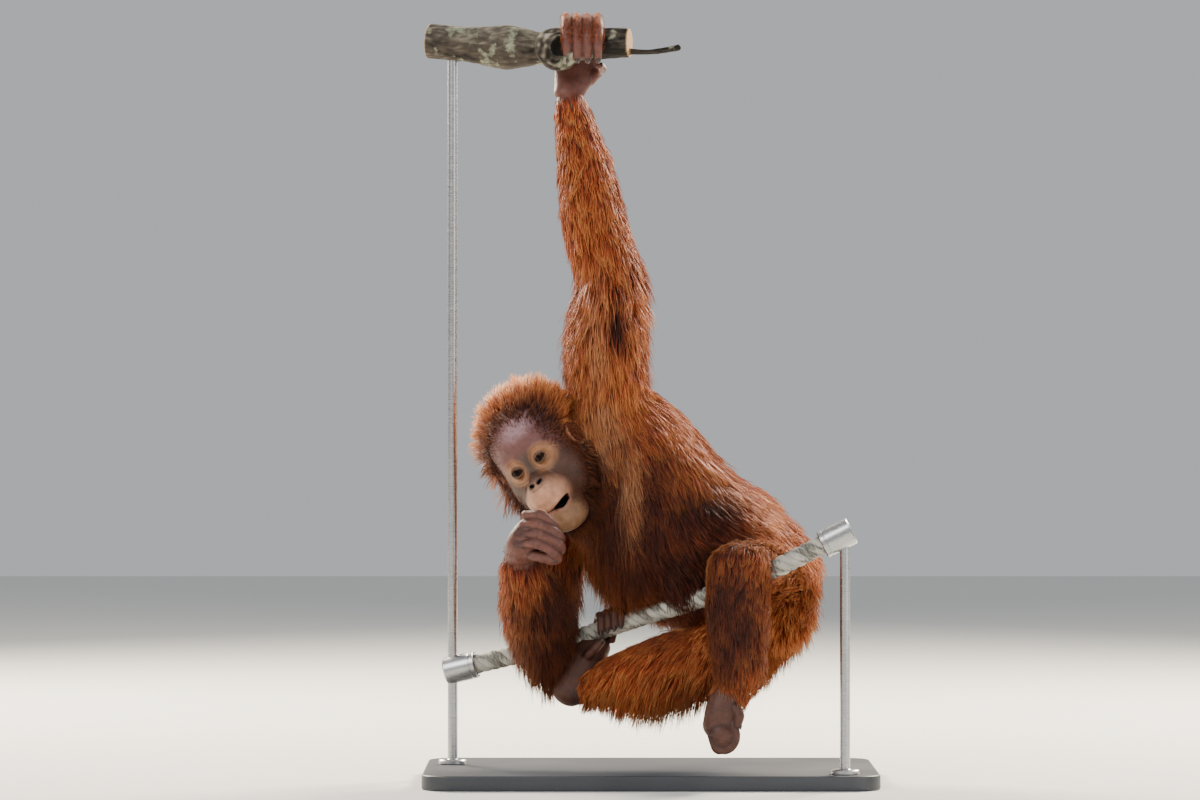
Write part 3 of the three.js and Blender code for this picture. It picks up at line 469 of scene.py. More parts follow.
HAND_LEFT_FINGER = [(0, 31, 892), (0, 22, 909), (1, 2, 915), (2, -21, 905), (2, -30, 886), (2, -24, 866)]
FIST_STEP = 11.4  # how far each finger of the fist lies under the one before it
FOOT_RIGHT_TOE = [(-9, 15, -20), (-3, 20, 4), (0, 6, 19), (2, -13, 16), (2, -19, -1)]
HANDS = {
    "hand_left": [
        {"line": [(-98, 22, 826), (-90, 31, 854), (-84, 31, 886)], "girth": [(18, 13), (26, 11), (27, 9)]},
        *[digit(moved(HAND_LEFT_FINGER, (-83 + (k - 1.5) * 12.4, 0, 0)), 6.3) for k in range(4)],
        digit([(-72, 30, 842), (-62, 24, 852), (-58, 12, 856), (-60, -4, 859)], 5.8),
    ],
    "hand_right": [
        {"line": [(-154, -130, 274), (-147, -144, 290), (-137, -150, 304)], "side": (1, 0, 0.3),
         "girth": [(19, 16), (23, 17), (22, 15)]},
        *[digit(moved([(-147 - 2.4 * k, -157, 324), (-129 - 1.2 * k, -169, 324), (-111 + end, -164, 313),
                       (-108 + end, -151, 305), (-121, -146, 303)], (0, 0, -FIST_STEP * k)), girth)
          for k, end, girth in ((0, -4, 5.7), (1, 1, 6.1), (2, 2, 6.1), (3, -2, 5.8))],
        digit([(-148, -148, 279), (-131, -158, 275), (-114, -157, 272)], 6.8),
    ],
    "foot_left": [
        {"line": [(98, -136, 122), (85, -140, 100), (80, -141, 76)], "girth": [(19, 17), (20, 19), (20, 20)]},
        {"line": [(102, -134, 124), (114, -131, 126), (124, -128, 128)], "side": (0, 1, 0),
         "girth": [(14, 15), (13, 13), (10, 11)]},
        {"line": [(82, -152, 66), (82, -130, 66)], "girth": [(15, 15), (15, 15)]},
        *[digit([(71, y, 66), (77, y, 50), (92, y + 1, 51), (99, y + 2, 66), (95, y + 2, 80)], 5.7)
          for y in (-156, -146, -136, -126)],
        digit([(90, -150, 104), (102, -154, 92), (101, -156, 78)], 6.4),
    ],
    "foot_right": [
        {"line": [(-99, -12, 107), (-80, -8, 138), (-63, 4, 166)], "side": (0.8, 0.2, -0.4),
         "girth": [(20, 17), (25, 17), (18, 12)]},
        {"line": [(-62, -16, 118), (-78, -12, 114), (-94, -12, 108)], "side": (0, 1, 0),
         "girth": [(19, 20), (19, 20), (17, 17)], "coated": True},
        *[digit(moved(FOOT_RIGHT_TOE, (-50 + k * 8.1, -10 - k * 3.6, 184.5 + k * 3.2)), 5.0)
          for k in (-1.4, -0.4, 0.6, 1.6)],
        digit([(-78, -18, 148), (-68, -26, 160), (-58, -29, 170)], 6.2),
    ],
}
EXTREMITY_VOXEL = 1.2
BODY_VOXEL = 5.0


def limbs_mesh(name, limbs, sides, rings):
    """Several drawn-out balls in one mesh"""
    bm = bmesh.new()
    for limb in limbs:
        shape = {k: limb[k] for k in ("line", "girth", "side", "cap") if k in limb}
        add_limb(bm, sides=sides, rings=rings, **shape)
    return finished(bm, name)


skin_parts = [melted(limbs_mesh("body", FLESH.values(), 32, 40), BODY_VOXEL, 9)]
for name, limbs in HANDS.items():
    skin_parts.append(melted(limbs_mesh(name, limbs, 20, 40), EXTREMITY_VOXEL, 2))
print("skin parts:", {m.name: len(m.polygons) for m in skin_parts})

# %% [markdown]
# ## The head
# A head is easiest to model as clay: rounded masses pressed into one another. Here each mass is a distance,
# and two distances melt together over a few millimetres. Rays then find where that clay ends, and a fine
# ball shrinks onto it. So the same few masses that shape the solid head give the skin, and the folds, the
# nose and the lips are pressed into it at half a millimetre.

# %% Masses of the head, in its own axes
HEAD_MASSES = [
    ((-14, 0, 22), (64, 53, 54), 0),
    ((14, 0, -18), (36, 45, 48), 16),
    ((12, 24, -36), (27, 22, 34), 14),
    ((12, -24, -36), (27, 22, 34), 14),
    ((41, 0, -45), (36, 31, 24), 12),
    ((34, 0, -80), (31, 26, 18), 12),
    ((38, 17, 10), (9, 16, 6), 8),
    ((38, -17, 10), (9, 16, 6), 8),
    ((55, 0, -25), (9, 10, 8), 9),
]
NOSE_WINGS = [((60, 6.5, -29), (7, 4.6, 4), 4), ((60, -6.5, -29), (7, 4.6, 4), 4)]
SOCKET = {"at": (58, 18, -4), "radius": 11, "melt": 7}
EYE = {"at": (42.5, 17.5, -4), "radius": 9.2}
NOSTRIL = {"at": (64, 5.4, -27.5), "radii": (6, 4.2, 2.3), "turn": 0.5}
MOUTH_LINE = [(52, -19, -62), (62, -9, -63.5), (66, 1, -64), (63, 10, -63.5), (53, 18, -61)]
EYE_GAP = 0.15  # between the eyeball and the skin behind it
MOUTH_GAP = (0.3, 0.35, 0.9, 4.8, 3.2)
MOUTH_DEPTH = 13
UPPER_LIP = [(54, -21, -59), (66, -10, -58.5), (70, 1, -58), (67, 11, -57), (54, 20, -57)]
LOWER_LIP = [(50, -20, -66), (60, -9, -69), (63, 1, -71), (61, 10, -71), (51, 19, -65.5)]
LIPS = [(UPPER_LIP, (2.2, 3.1, 3.4, 3.2, 2.2)), (LOWER_LIP, (2.2, 3.2, 3.6, 3.4, 2.2))]
LIP_MELT = 4
HEART = np.array((4.0, 0.0, -10.0))  # the rays run in towards here
RAY_START = 112.0
RAY_END = 4
RAY_STEPS = 70
RAY_SHARE = 0.7  # how much of the distance left each step takes, so that none runs past the surface


def mirrored(at, sign):
    """A place in the head's own axes, on its left for 1 and on its right for -1"""
    return np.array(at, float) * (1, sign, 1)


def ball_distance(p, at, radii):
    """About how far points lie outside an ellipsoid"""
    q = (p - np.array(at, float)) / np.array(radii, float)
    near = np.linalg.norm(q, axis=1)
    steep = np.maximum(np.linalg.norm(q / np.array(radii, float), axis=1), 1e-9)
    return near * (near - 1) / steep


def melt(a, b, width):
    """Two distances pressed together over a width"""
    if width == 0:
        return np.minimum(a, b)
    h = np.maximum(width - np.abs(a - b), 0) / width
    return np.minimum(a, b) - h * h * width / 4


def tube_distance(p, line, radii):
    """How far points lie outside a tube along a line"""
    at, _, _ = course(line, 25)
    girth = np.interp(np.linspace(0, len(radii) - 1, 25), range(len(radii)), radii)
    return (np.linalg.norm(p[:, None, :] - at[None], axis=2) - girth).min(axis=1)


# The folds round each eye: how far out, how wide, over it (1) or under it (-1), and how deep
EYE_FOLDS = [(13.4, 1.1, -1, 0.75), (17.5, 1.3, -1, 0.45), (13.0, 1.1, 1, 0.6)]
NOSE_FOLD = {"side": 15, "from": -20, "spread": 0.55, "width": 1.6, "middle": -32, "tall": 9, "depth": 0.7}


def folds(p):
    """Fine folds of the face: bags under the eyes, creases over them, and lines beside the nose"""
    depth = np.zeros(len(p))
    front = np.clip((p[:, 0] - 25) / 12, 0, 1)
    for sign in (1, -1):
        _, s, u = (p * (1, sign, 1) - EYE["at"]).T
        r = np.hypot(s * 0.86, u)
        for reach, width, way, deep in EYE_FOLDS:
            share = np.clip(u * way / 7, 0, 1) * np.clip(1.3 - np.abs(s) / 16, 0, 1)
            depth += deep * np.exp(-(((r - reach) / width) ** 2)) * share
        line = NOSE_FOLD["side"] + (NOSE_FOLD["from"] - p[:, 2]) * NOSE_FOLD["spread"]
        beside = np.abs(p[:, 1] * sign - line) / NOSE_FOLD["width"]
        level = (p[:, 2] - NOSE_FOLD["middle"]) / NOSE_FOLD["tall"]
        depth += NOSE_FOLD["depth"] * np.exp(-(beside**2)) * np.exp(-(level**2))
    return depth * front


def head_distance(p, fine=True):
    """How far points in the head's own axes lie outside its surface"""
    d = np.full(len(p), 1e9)
    for at, radii, width in HEAD_MASSES + (NOSE_WINGS if fine else []):
        d = melt(d, ball_distance(p, at, radii), width)
    for sign in (1, -1):
        gap = np.linalg.norm(p - mirrored(SOCKET["at"], sign), axis=1)
        d = -melt(-d, gap - SOCKET["radius"], SOCKET["melt"])
    if not fine:
        return d
    for line, radii in LIPS:
        d = melt(d, tube_distance(p, line, radii), LIP_MELT)
    return d + folds(p)


def head_surface(directions, fine=True):
    """Where rays from the middle of the head leave it"""
    reach = np.full(len(directions), RAY_START)
    for _ in range(RAY_STEPS):
        d = head_distance(HEART + directions * reach[:, None], fine)
        reach = np.maximum(reach - RAY_SHARE * d, RAY_END)
    return HEART + directions * reach[:, None]


print("masses of the head:", len(HEAD_MASSES))

# %% Shrink a fine ball onto the head
FACE_PULL = 0.45  # how much closer together the ball's points stand in front
FINE_FRONT = 0.55  # cosine of the cone round the face that is divided once more


def head_mesh():
    """The head's skin, finest over the face"""
    bm = bmesh.new()
    bmesh.ops.create_icosphere(bm, subdivisions=6, radius=1)
    front = {e for f in bm.faces if f.calc_center_median().x > FINE_FRONT for e in f.edges}
    bmesh.ops.subdivide_edges(bm, edges=list(front), cuts=1, use_grid_fill=True)
    bmesh.ops.triangulate(bm, faces=[f for f in bm.faces if len(f.verts) > 4])
    ball = unit(np.array([v.co for v in bm.verts]))
    lean = np.arccos(np.clip(ball[:, 0], -1, 1)) / math.pi
    lean = math.pi * (FACE_PULL * lean + (1 - FACE_PULL) * lean * lean)
    turn = np.arctan2(ball[:, 2], ball[:, 1])
    rays = np.stack([np.cos(lean), np.sin(lean) * np.cos(turn), np.sin(lean) * np.sin(turn)], axis=1)
    for v, co in zip(bm.verts, from_head(head_surface(rays))):
        v.co = co
    soften(bm, bm.verts, 0.35)
    return finished(bm, "head")


head = head_mesh()
skin_parts.append(head)
print("head:", len(head.polygons), "faces")

# %% [markdown]
# ## Lids and ears
# Real lids are thin folds of skin that slide over the eyeball. Each pair is made here as one ring, rolled
# up from a grid: it starts at the almond-shaped opening, runs out over the ball, and comes back close to
# it. The ears are small cups with a rolled rim, and a profile turned round an axis gives just that.

# %% Lids round each eye
LID = {"width": 7.2, "upper": 4.3, "lower": 3.9, "thick": 1.7 / 1.9, "reach": 98, "slant": 0.12,
       "almond": 1.3, "clear": 0.3}
LID_PROFILE = [  # how far from the opening's edge to the lid's root, and how far off the eyeball
    (0.0, 0.30), (-0.02, 0.75), (0.02, 1.15), (0.08, 1.5), (0.2, 1.75), (0.36, 1.9), (0.6, 1.9), (0.9, 1.9),
    (1.0, 1.0), (0.9, 0.0), (0.6, 0.0), (0.36, 0.0), (0.2, 0.0), (0.08, 0.1), (0.03, 0.2),
]
LID_SIDES = 56


def lids_mesh(sign):
    """One pair of lids as a closed ring"""
    eye = mirrored(EYE["at"], sign)
    turn = np.linspace(0, 2 * math.pi, LID_SIDES, endpoint=False)
    tall = np.where(np.sin(turn) > 0, LID["upper"], LID["lower"])
    side = LID["width"] * np.cos(turn)
    up = tall * np.sign(np.sin(turn)) * np.abs(np.sin(turn)) ** LID["almond"] + side * LID["slant"]
    spread = np.arctan2(up, side)
    start = np.arcsin(np.hypot(side, up) / (EYE["radius"] + LID["clear"]))
    rows = []
    for share, off in LID_PROFILE:
        lean = start + (math.radians(LID["reach"]) - start) * share
        r = EYE["radius"] + off * (LID["thick"] if off > 0.5 else 1)
        rows.append(np.stack([
            eye[0] + r * np.cos(lean),
            eye[1] + sign * r * np.sin(lean) * np.cos(spread),
            eye[2] + r * np.sin(lean) * np.sin(spread),
        ], axis=1))
    rows = np.array([from_head(row) for row in [*rows, rows[0]]])
    return rolled(f"lids_{sign}", rows, caps=False)


print("a lid's profile:", len(LID_PROFILE), "points")

# %% Ears
EAR = {"at": (6, 52.5, -3), "tall": 14.5, "wide": 10, "lean": 0.34, "lobe": 0.14}
EAR_PROFILE = [  # how far out from the middle of the cup, and how far out of the head
    (0.0, -2.5), (0.25, -2.3), (0.45, -1.2), (0.56, 1.6), (0.66, 2.6), (0.74, 1.6), (0.8, 2.8), (0.9, 4.2),
    (1.0, 3.6), (1.03, 1.8), (0.97, -0.6), (0.82, -3.0), (0.55, -6.5), (0.3, -10), (0.0, -11),
]
EAR_SIDES = 40


def ear_mesh(sign):
    """One ear: a cup turned from its profile, then made oval and tilted back"""
    bm = bmesh.new()
    for v in spun(bm, EAR_PROFILE, EAR_SIDES):
        r = math.hypot(v.co.x, v.co.y)
        lobe = 1 - EAR["lobe"] * max(0.0, -v.co.y / max(r, 1e-6)) * min(1.0, r)
        spot = np.array((v.co.x * EAR["wide"], v.co.z, v.co.y * EAR["tall"])) * (lobe, 1, 1)
        lean = EAR["lean"]
        forward = spot[0] * math.cos(lean) + spot[1] * math.sin(lean)
        out = spot[1] * math.cos(lean) - spot[0] * math.sin(lean)
        v.co = from_head(mirrored(np.array(EAR["at"]) + (forward, out, spot[2]), sign))
    bmesh.ops.subdivide_edges(bm, edges=bm.edges, cuts=1, smooth=0.6, use_grid_fill=True)
    return finished(bm, f"ear_{sign}")


for sign in (1, -1):
    skin_parts += [lids_mesh(sign), ear_mesh(sign)]
print("lids and ears:", {m.name: len(m.polygons) for m in skin_parts[-4:]})

# %% [markdown]
# ## One skin
# All the parts are closed, so a Boolean union welds them into one closed skin with no seam and nothing
# hidden inside it. Where two parts meet, a few rounds of smoothing take the crease away.

# %% Weld the parts into one skin
JOIN_AT = [((-98, 21, 826), 16), ((-154, -129, 271), 15), ((103, -137, 128), 17), ((-66, -16, 117), 16),
           ((-112, -26, 393), 34)]  # wrists, ankles and neck, and how far round each the skin is smoothed
JOIN_PASSES = 6
LID_PASSES = 5
LID_ZONE = {"from": 0.8, "to": 14.5, "lean": 56}  # off the eyeball, from its middle, and degrees off its axis


def welded(parts, cuts):
    """The union of closed meshes, less what is cut out of it"""
    holders = [bpy.data.objects.new(m.name, m) for m in [*parts, *cuts]]
    base, others = holders[0], holders[1:]
    for holder in holders:
        scene.collection.objects.link(holder)
    for i, other in enumerate(others, 1):
        join = base.modifiers.new(other.name, "BOOLEAN")
        join.operation = "UNION" if i < len(parts) else "DIFFERENCE"
        join.solver = "MANIFOLD"
        join.object = other
    view = bpy.context.evaluated_depsgraph_get()
    made = bpy.data.meshes.new_from_object(base.evaluated_get(view))
    for holder in holders:
        bpy.data.objects.remove(holder)
    return made


def ball_mesh(name, at, radii, turn=0.0, sides=24):
    """An ellipsoid in the head's own axes, turned about the forward one"""
    bm = bmesh.new()
    bmesh.ops.create_uvsphere(bm, u_segments=sides, v_segments=sides * 2 // 3, radius=1)
    for v in bm.verts:
        f, s, u = v.co.x * radii[0], v.co.y * radii[1], v.co.z * radii[2]
        s, u = s * math.cos(turn) - u * math.sin(turn), u * math.cos(turn) + s * math.sin(turn)
        v.co = from_head((at[0] + f, at[1] + s, at[2] + u))
    return finished(bm, name)


def hollows():
    """What is cut out of the head: the space for each eyeball, the nostrils and the open mouth"""
    bm = bmesh.new()
    girth = [(MOUTH_DEPTH, half) for half in MOUTH_GAP]
    add_limb(bm, from_head(MOUTH_LINE), girth, side=HEAD_AXES[0], sides=24, rings=40, cap=0.6)
    cuts = [finished(bm, "mouth")]
    for sign in (1, -1):
        space = [EYE["radius"] + EYE_GAP] * 3
        cuts.append(ball_mesh("eye_space", mirrored(EYE["at"], sign), space, sides=40))
        nostril = mirrored(NOSTRIL["at"], sign)
        cuts.append(ball_mesh("nostril", nostril, NOSTRIL["radii"], turn=NOSTRIL["turn"] * sign))
    return cuts


skin_mesh = welded(skin_parts, hollows())
bm = bmesh.new()
bm.from_mesh(skin_mesh)
for at, reach in JOIN_AT:
    near = [v for v in bm.verts if (v.co - Vector(at) * MM).length < reach * MM]
    soften(bm, near, 0.5, JOIN_PASSES)
for sign in (1, -1):
    eye = Vector(from_head(mirrored(EYE["at"], sign))) * MM
    near = []
    for v in bm.verts:
        gap = v.co - eye
        if (EYE["radius"] + LID_ZONE["from"]) * MM < gap.length < LID_ZONE["to"] * MM:
            if gap.angle(Vector(HEAD_AXES[0])) > math.radians(LID_ZONE["lean"]):
                near.append(v)
    soften(bm, near, 0.5, LID_PASSES)
bmesh.ops.triangulate(bm, faces=bm.faces)
open_edges = sum(1 for e in bm.edges if not e.is_manifold)
bm.to_mesh(skin_mesh)
bm.free()
print("skin:", len(skin_mesh.polygons), "triangles,", open_edges, "open edges")

# %% [markdown]
# ## Where the coat grows
# The skin is bare on the face, the palms, soles and digits, and thin round the ears. Everywhere else each
# hair follows the nearest limb, and near a joint it follows both, weighted by how near each is. On the head
# the hair runs out and back from the face, which gives the fiery ring round it.

# %% Combing: direction, length and bare places of the coat
BLEND = 9.0  # millimetres over which one limb's combing gives way to the next
HALO = {"length": 40, "stand": 27, "hang": 0.12}
HALO_BACK = 6  # how much shorter the coat is behind the halo
COATED_BY = 5  # how much nearer the coat comes on the parts of a foot that have one
EAR_BARE = 11
EAR_CLEAR = {"from": 10, "over": 22, "least": 0.14}  # the coat is short here, to show the near ear


def limb_distances(limb, points):
    """For points, how far they lie outside a limb and which of its stations is nearest"""
    best = np.full(len(points), 1e9)
    which = np.zeros(len(points), int)
    for i in range(0, len(limb["at"]), 2):
        d = np.linalg.norm(points - limb["at"][i], axis=1) - limb["half"][i].mean()
        closer = d < best
        best[closer] = d[closer]
        which[closer] = i
    return best, which


def row_value(row, which):
    """A row of sizes along a limb, read at the nearest stations"""
    return np.interp(which / (STATIONS - 1) * (len(row) - 1), range(len(row)), row)


HAIRLINE = {"at": 11, "brow_slope": 0.42, "brow_curve": 0.0030, "chin_from": -14, "chin_slope": 0.26}
SIDEBURN = 13  # how much further forward the hair comes on the cheek and in front of the near ear


def hairline(local):
    """How far forward of the head's middle the face's edge lies, at places in the head's own axes"""
    _, s, u = local.T
    over = np.maximum(u, 0)
    edge = HAIRLINE["at"] + HAIRLINE["brow_slope"] * over + HAIRLINE["brow_curve"] * over**2
    edge += HAIRLINE["chin_slope"] * np.maximum(HAIRLINE["chin_from"] - u, 0)
    edge += SIDEBURN * np.clip((-s - 20) / 14, 0, 1) * np.clip((6 - u) / 20, 0, 1)
    edge += SIDEBURN * np.clip((s - 20) / 12, 0, 1) * np.clip(1.4 - np.abs(u - 8) / 24, 0, 1)
    return edge


def bare(points):
    """How bare the skin is at points: 1 on the face, hands and feet, 0 under the coat"""
    local = into_head(points)
    hands = np.full(len(points), 1e9)
    for limbs in HANDS.values():
        for limb in limbs:
            d, _ = limb_distances(stations(**limb), points)
            hands = np.minimum(hands, d + (COATED_BY if limb.get("coated") else 0))
    limbs = np.full(len(points), 1e9)
    for limb in FLESH.values():
        d, _ = limb_distances(limb, points)
        limbs = np.minimum(limbs, d)
    on_hands = np.clip((limbs - hands + 1) / 3, 0, 1)
    head = head_distance(local, fine=False)
    on_face = np.clip((local[:, 0] - hairline(local) + 2) / 11, 0, 1) * (head < 6)
    ears = [np.linalg.norm((local - mirrored(EAR["at"], k)) / (1, 0.9, 1.2), axis=1) for k in (1, -1)]
    on_ear = np.minimum(*ears) < EAR_BARE
    return np.maximum(np.maximum(on_hands, on_face), on_ear), head < np.minimum(limbs, hands)


def patch(points, at, radii):
    """1 in the middle of a soft round patch, 0 outside it"""
    q = (np.asarray(points, float) - np.array(at, float)) / np.array(radii, float)
    return np.clip(1.5 - 1.1 * np.linalg.norm(q, axis=1), 0, 1)


FREE_FALLS = [  # where the coat hangs free or stands out: place, reach, longer, more hang, more stand
    ((30, -84, 238), (60, 22, 34), 22, 0.75, 4), ((-120, -24, 168), (48, 44, 34), 14, 0.6, 6),
    ((10, -54, 130), (90, 40, 30), 10, 0.35, 6), ((-20, -6, 600), (34, 44, 44), 12, 0.2, 20),
    ((-52, -20, 520), (70, 60, 80), 6, 0.1, 12), ((150, 30, 210), (60, 90, 70), 10, 0.2, 10),
    ((-66, -30, 290), (46, 60, 60), 22, 0.5, 16), ((-104, 40, 250), (40, 60, 60), 10, 0.2, 12),
    ((-166, -34, 356), (36, 50, 54), 14, 0.3, 12),
]


def combed(points, normals):
    """For roots and their normals: the coat's lie, its length, how far its tips stand off and how it hangs"""
    near, lies, values = [], [], []
    for limb in FLESH.values():
        d, which = limb_distances(limb, points)
        near.append(d)
        lies.append(limb["tangent"][which] * limb["flow"])
        length, stand = row_value(limb["length"], which), row_value(limb["stand"], which)
        values.append(np.stack([length, stand, np.full(len(points), limb["hang"])], axis=1))
    local = into_head(points)
    f, s, u = local.T
    rim = unit(np.stack([np.zeros(len(points)), s, u + 8], axis=1))
    back = np.stack([-0.55 - np.clip(-f / 60, 0, 1), rim[:, 1], rim[:, 2]], axis=1)
    near.append(head_distance(local, fine=False))
    lies.append(unit(back) @ HEAD_AXES)
    halo = np.clip((f + 40) / 30, 0, 1)
    grown = np.clip((hairline(local) - f + 4) / 26, 0.16, 1) ** 0.8
    length = (HALO["length"] - HALO_BACK * (1 - halo)) * grown
    stand = HALO["stand"] * (0.5 + 0.5 * halo) * grown
    values.append(np.stack([length, stand, np.full(len(points), HALO["hang"])], axis=1))
    near = np.array(near)
    weight = np.exp(-(near - near.min(axis=0)) / BLEND)
    weight /= weight.sum(axis=0)
    lie = (weight[:, :, None] * np.array(lies)).sum(axis=0)
    value = (weight[:, :, None] * np.array(values)).sum(axis=0)
    lie -= (lie * normals).sum(axis=1)[:, None] * normals
    length, stand, hang = value.T.copy()
    for at, radii, longer, more_hang, more_stand in FREE_FALLS:
        amount = patch(points, at, radii)
        length += longer * amount
        hang += more_hang * amount
        stand += more_stand * amount
    to_ear = np.linalg.norm(local - np.array(EAR["at"], float), axis=1)
    clear = np.clip((to_ear - EAR_CLEAR["from"]) / EAR_CLEAR["over"], EAR_CLEAR["least"], 1)
    length *= clear
    stand *= clear
    under = np.clip(-normals[:, 2] - 0.15, 0, 1)
    return unit(lie), length * (1 + 0.35 * under * hang), stand, hang + under * hang


print("combed along", len(FLESH), "limbs, with", len(FREE_FALLS), "places where the coat falls free")

# %% [markdown]
# ## Colours of the coat and the skin
# Three marks say how dark a region is painted, how pale it is, and how much painted backlight it gets: the
# back is painted golden as if lit from behind, and the chest and the legs are painted dark maroon as shade.
# The pale patches are the coat's own paler hair. They are worked out from places on the body, and the skin
# under the coat has the same painted shade, so that the two finishes can't disagree.

# %% Painted shade, pale hair and painted backlight
# Painted shade: soft patches that darken the coat, and the skin under it, on the front of the chest and
# belly, on the legs and the right forearm, under the chin, at the left elbow and between the right arm and
# the chest
PAINTED_SHADE_PATCHES = [
    ((-34, -78, 322), (76, 74, 122)), ((24, -85, 262), (105, 66, 70)), ((94, -150, 215), (44, 70, 90)),
    ((60, -20, 150), (60, 60, 45)), ((-118, -50, 225), (58, 118, 112)), ((-80, -60, 372), (44, 54, 66)),
    ((-42, -60, 580), (9, 40, 44)), ((40, -70, 330), (60, 50, 50)), ((-66, -80, 330), (40, 50, 80)),
    ((-96, -60, 300), (44, 60, 70)),
]
BACKLIGHT_FROM = (0, 0.8, 0.3)  # the sides painted with the most golden backlight look this way
HEAD_FADE = 14  # how far off the head its own markings end
PALE_PATCHES = [
    ((-64, -56, 440), (24, 34, 48), 0.75), ((-30, -80, 372), (12, 34, 60), 0.75),
    ((-62, -50, 560), (12, 30, 90), 0.5),
]


def painted_shade_and_pale(points):
    """For places in millimetres: how dark the coat is painted, as shade and darker round the face's edge, and
    how pale it is
    """
    dark = np.zeros(len(points))
    for at, radii in PAINTED_SHADE_PATCHES:
        dark = np.maximum(dark, patch(points, at, radii))
    pale = np.zeros(len(points))
    for at, radii, share in PALE_PATCHES:
        pale = np.maximum(pale, share * patch(points, at, radii))
    local = into_head(points)
    near_head = np.clip(1 - head_distance(local, fine=False) / HEAD_FADE, 0, 1)
    behind = hairline(local) - local[:, 0]
    rim = np.clip(1.7 - behind / 13, 0, 1) * np.clip(behind / 4 + 2, 0, 1) * near_head
    return np.maximum(dark, rim) * (1 - 0.6 * pale), pale


def sunned(points, normals):
    """For roots and their normals: how much painted golden backlight the coat gets there, most on the back
    and crown
    """
    facing = np.clip((normals @ BACKLIGHT_FROM + 0.3 * np.abs(normals[:, 0]) - 0.2) / 0.6, 0, 1)
    crown = np.clip(1 - head_distance(into_head(points), fine=False) / HEAD_FADE, 0, 1)
    return np.maximum(0.8 * facing * (1 - 0.5 * crown), 0.25 * crown)


print("markings:", len(PAINTED_SHADE_PATCHES), "dark and", len(PALE_PATCHES), "pale patches")

# %% [markdown]
# ## Rooting the coat
# Hair in a mesh has to be real faces, because particle hair isn't kept. Each tuft is a thin three-sided
# blade that bends twice and ends in a point: twelve triangles. Tens of thousands of them are worked out
# together as arrays, which takes seconds, where one at a time would take hours. A tuft starts under the
# skin, is combed along the lie, sinks with its own weight and is kept just off the skin. Neighbours lean
# towards a shared wisp, which is what makes a long coat look combed by weather and not by a machine.

# %% Unwrap the skin and sow the roots
skin_piece = bpy.data.objects.new("skin_to_unwrap", skin_mesh)
scene.collection.objects.link(skin_piece)
bpy.context.view_layer.objects.active = skin_piece
skin_piece.select_set(True)
skin_mesh.uv_layers.new(name="OFBake")
bpy.ops.object.mode_set(mode="EDIT")
bpy.ops.mesh.select_all(action="SELECT")
bpy.ops.uv.smart_project(angle_limit=math.radians(66), island_margin=0.002)
bpy.ops.object.mode_set(mode="OBJECT")
bpy.data.objects.remove(skin_piece)


def read_rows(rows, field, shape, kind=np.float32):
    """One field of a mesh's points, corners or map as an array"""
    values = np.zeros(len(rows) * shape[-1], kind)
    rows.foreach_get(field, values)
    return values.reshape(-1, *shape)


skin_co = read_rows(skin_mesh.vertices, "co", (3,)).astype(float) / MM
skin_faces = read_rows(skin_mesh.loops, "vertex_index", (1,), np.int32).reshape(-1, 3)
skin_uv = read_rows(skin_mesh.uv_layers["OFBake"].data, "uv", (3, 2))
skin_tree = BVHTree.FromPolygons(skin_co.tolist(), skin_faces.tolist())
corners = skin_co[skin_faces]
face_cross = np.cross(corners[:, 1] - corners[:, 0], corners[:, 2] - corners[:, 0])
face_area = np.linalg.norm(face_cross, axis=1) / 2
face_normal = unit(face_cross)
face_middle = corners.mean(axis=1)
face_bare, face_on_head = bare(face_middle)
print("coat area:", round(float((face_area * (face_bare < 0.5)).sum()) / 100), "square centimetres")

# %% Sizes of a tuft, and what the coat keeps clear of
TUFT = {"flat": 0.5, "sunk": 1.4, "clear": 0.5, "rings": (0.9, 1.0), "grow": (0.6, 1.12),
        "rise": (0.15, 1.0), "stray": 0.17, "heavy": 0.8}
BENDS = ((0.3, 0.3), (0.66, 0.36), (1.0, 0.34))  # how far along a tuft each bend is, and the step to it
RINGS_OF = (0, 0.3, 0.3, 0.3, 0.66, 0.66, 0.66, 1)  # how far along it each of a tuft's eight points is
FREE_SINK = 70  # how far a hair that hangs free may sink from the skin
WISP = {"each": 22, "pull": (0.10, 0.34, 0.62), "reach": 14, "keen": (0.35, 1.25), "most": 0.9}
BATCH = 20000  # hairs measured against the rope at a time
CURL = 0.3  # how far a hair turns aside towards its tip
PATCH = 0.003  # side of a tuft's patch on the unwrapped skin
DOWN = np.array((0.0, 0.0, -1.0))
ROPE_LINE = [(-238, 42, 132), (-176, 31, 147), (-118, 18, 161), (-54, -8, 184), (0, -36, 203),
             (50, -64, 219), (103, -106, 241), (141, -118, 257), (184, -122, 279), (228, -124, 301)]
ROPE_RADIUS = 11.5
ROPE_CLEAR = 1.2  # between the rope and the coat
ROD_RADIUS = 6
ROD_CLEAR = 1
ROD_TALL = {"x": -238, "y": 42, "top": 880}
ROD_SHORT = {"x": 228, "y": -124, "top": 296}
rope_at, rope_tangent, rope_run = course(ROPE_LINE, 400)
rng = np.random.default_rng(7)


def sow(mask, count, crowd):
    """Roots spread over the chosen faces by area: places, normals and their places on the unwrap"""
    weight = face_area * mask * crowd
    chosen = rng.choice(len(weight), size=count, p=weight / weight.sum())
    a, b = rng.random(count), rng.random(count)
    fold = a + b > 1
    a[fold], b[fold] = 1 - a[fold], 1 - b[fold]
    share = np.stack([1 - a - b, a, b], axis=1)[:, :, None]
    return (corners[chosen] * share).sum(axis=1), face_normal[chosen], (skin_uv[chosen] * share).sum(axis=1)


def off_the_skin(points, lowest, highest):
    """Points moved to lie between two heights over the skin"""
    out = points.copy()
    for i, point in enumerate(points):
        near, normal, _, _ = skin_tree.find_nearest(point)
        n = np.array(normal)
        height = float((point - np.array(near)) @ n)
        if height < lowest[i]:
            out[i] += n * (lowest[i] - height)
        elif height > highest[i]:
            out[i] -= n * (height - highest[i])
    return out


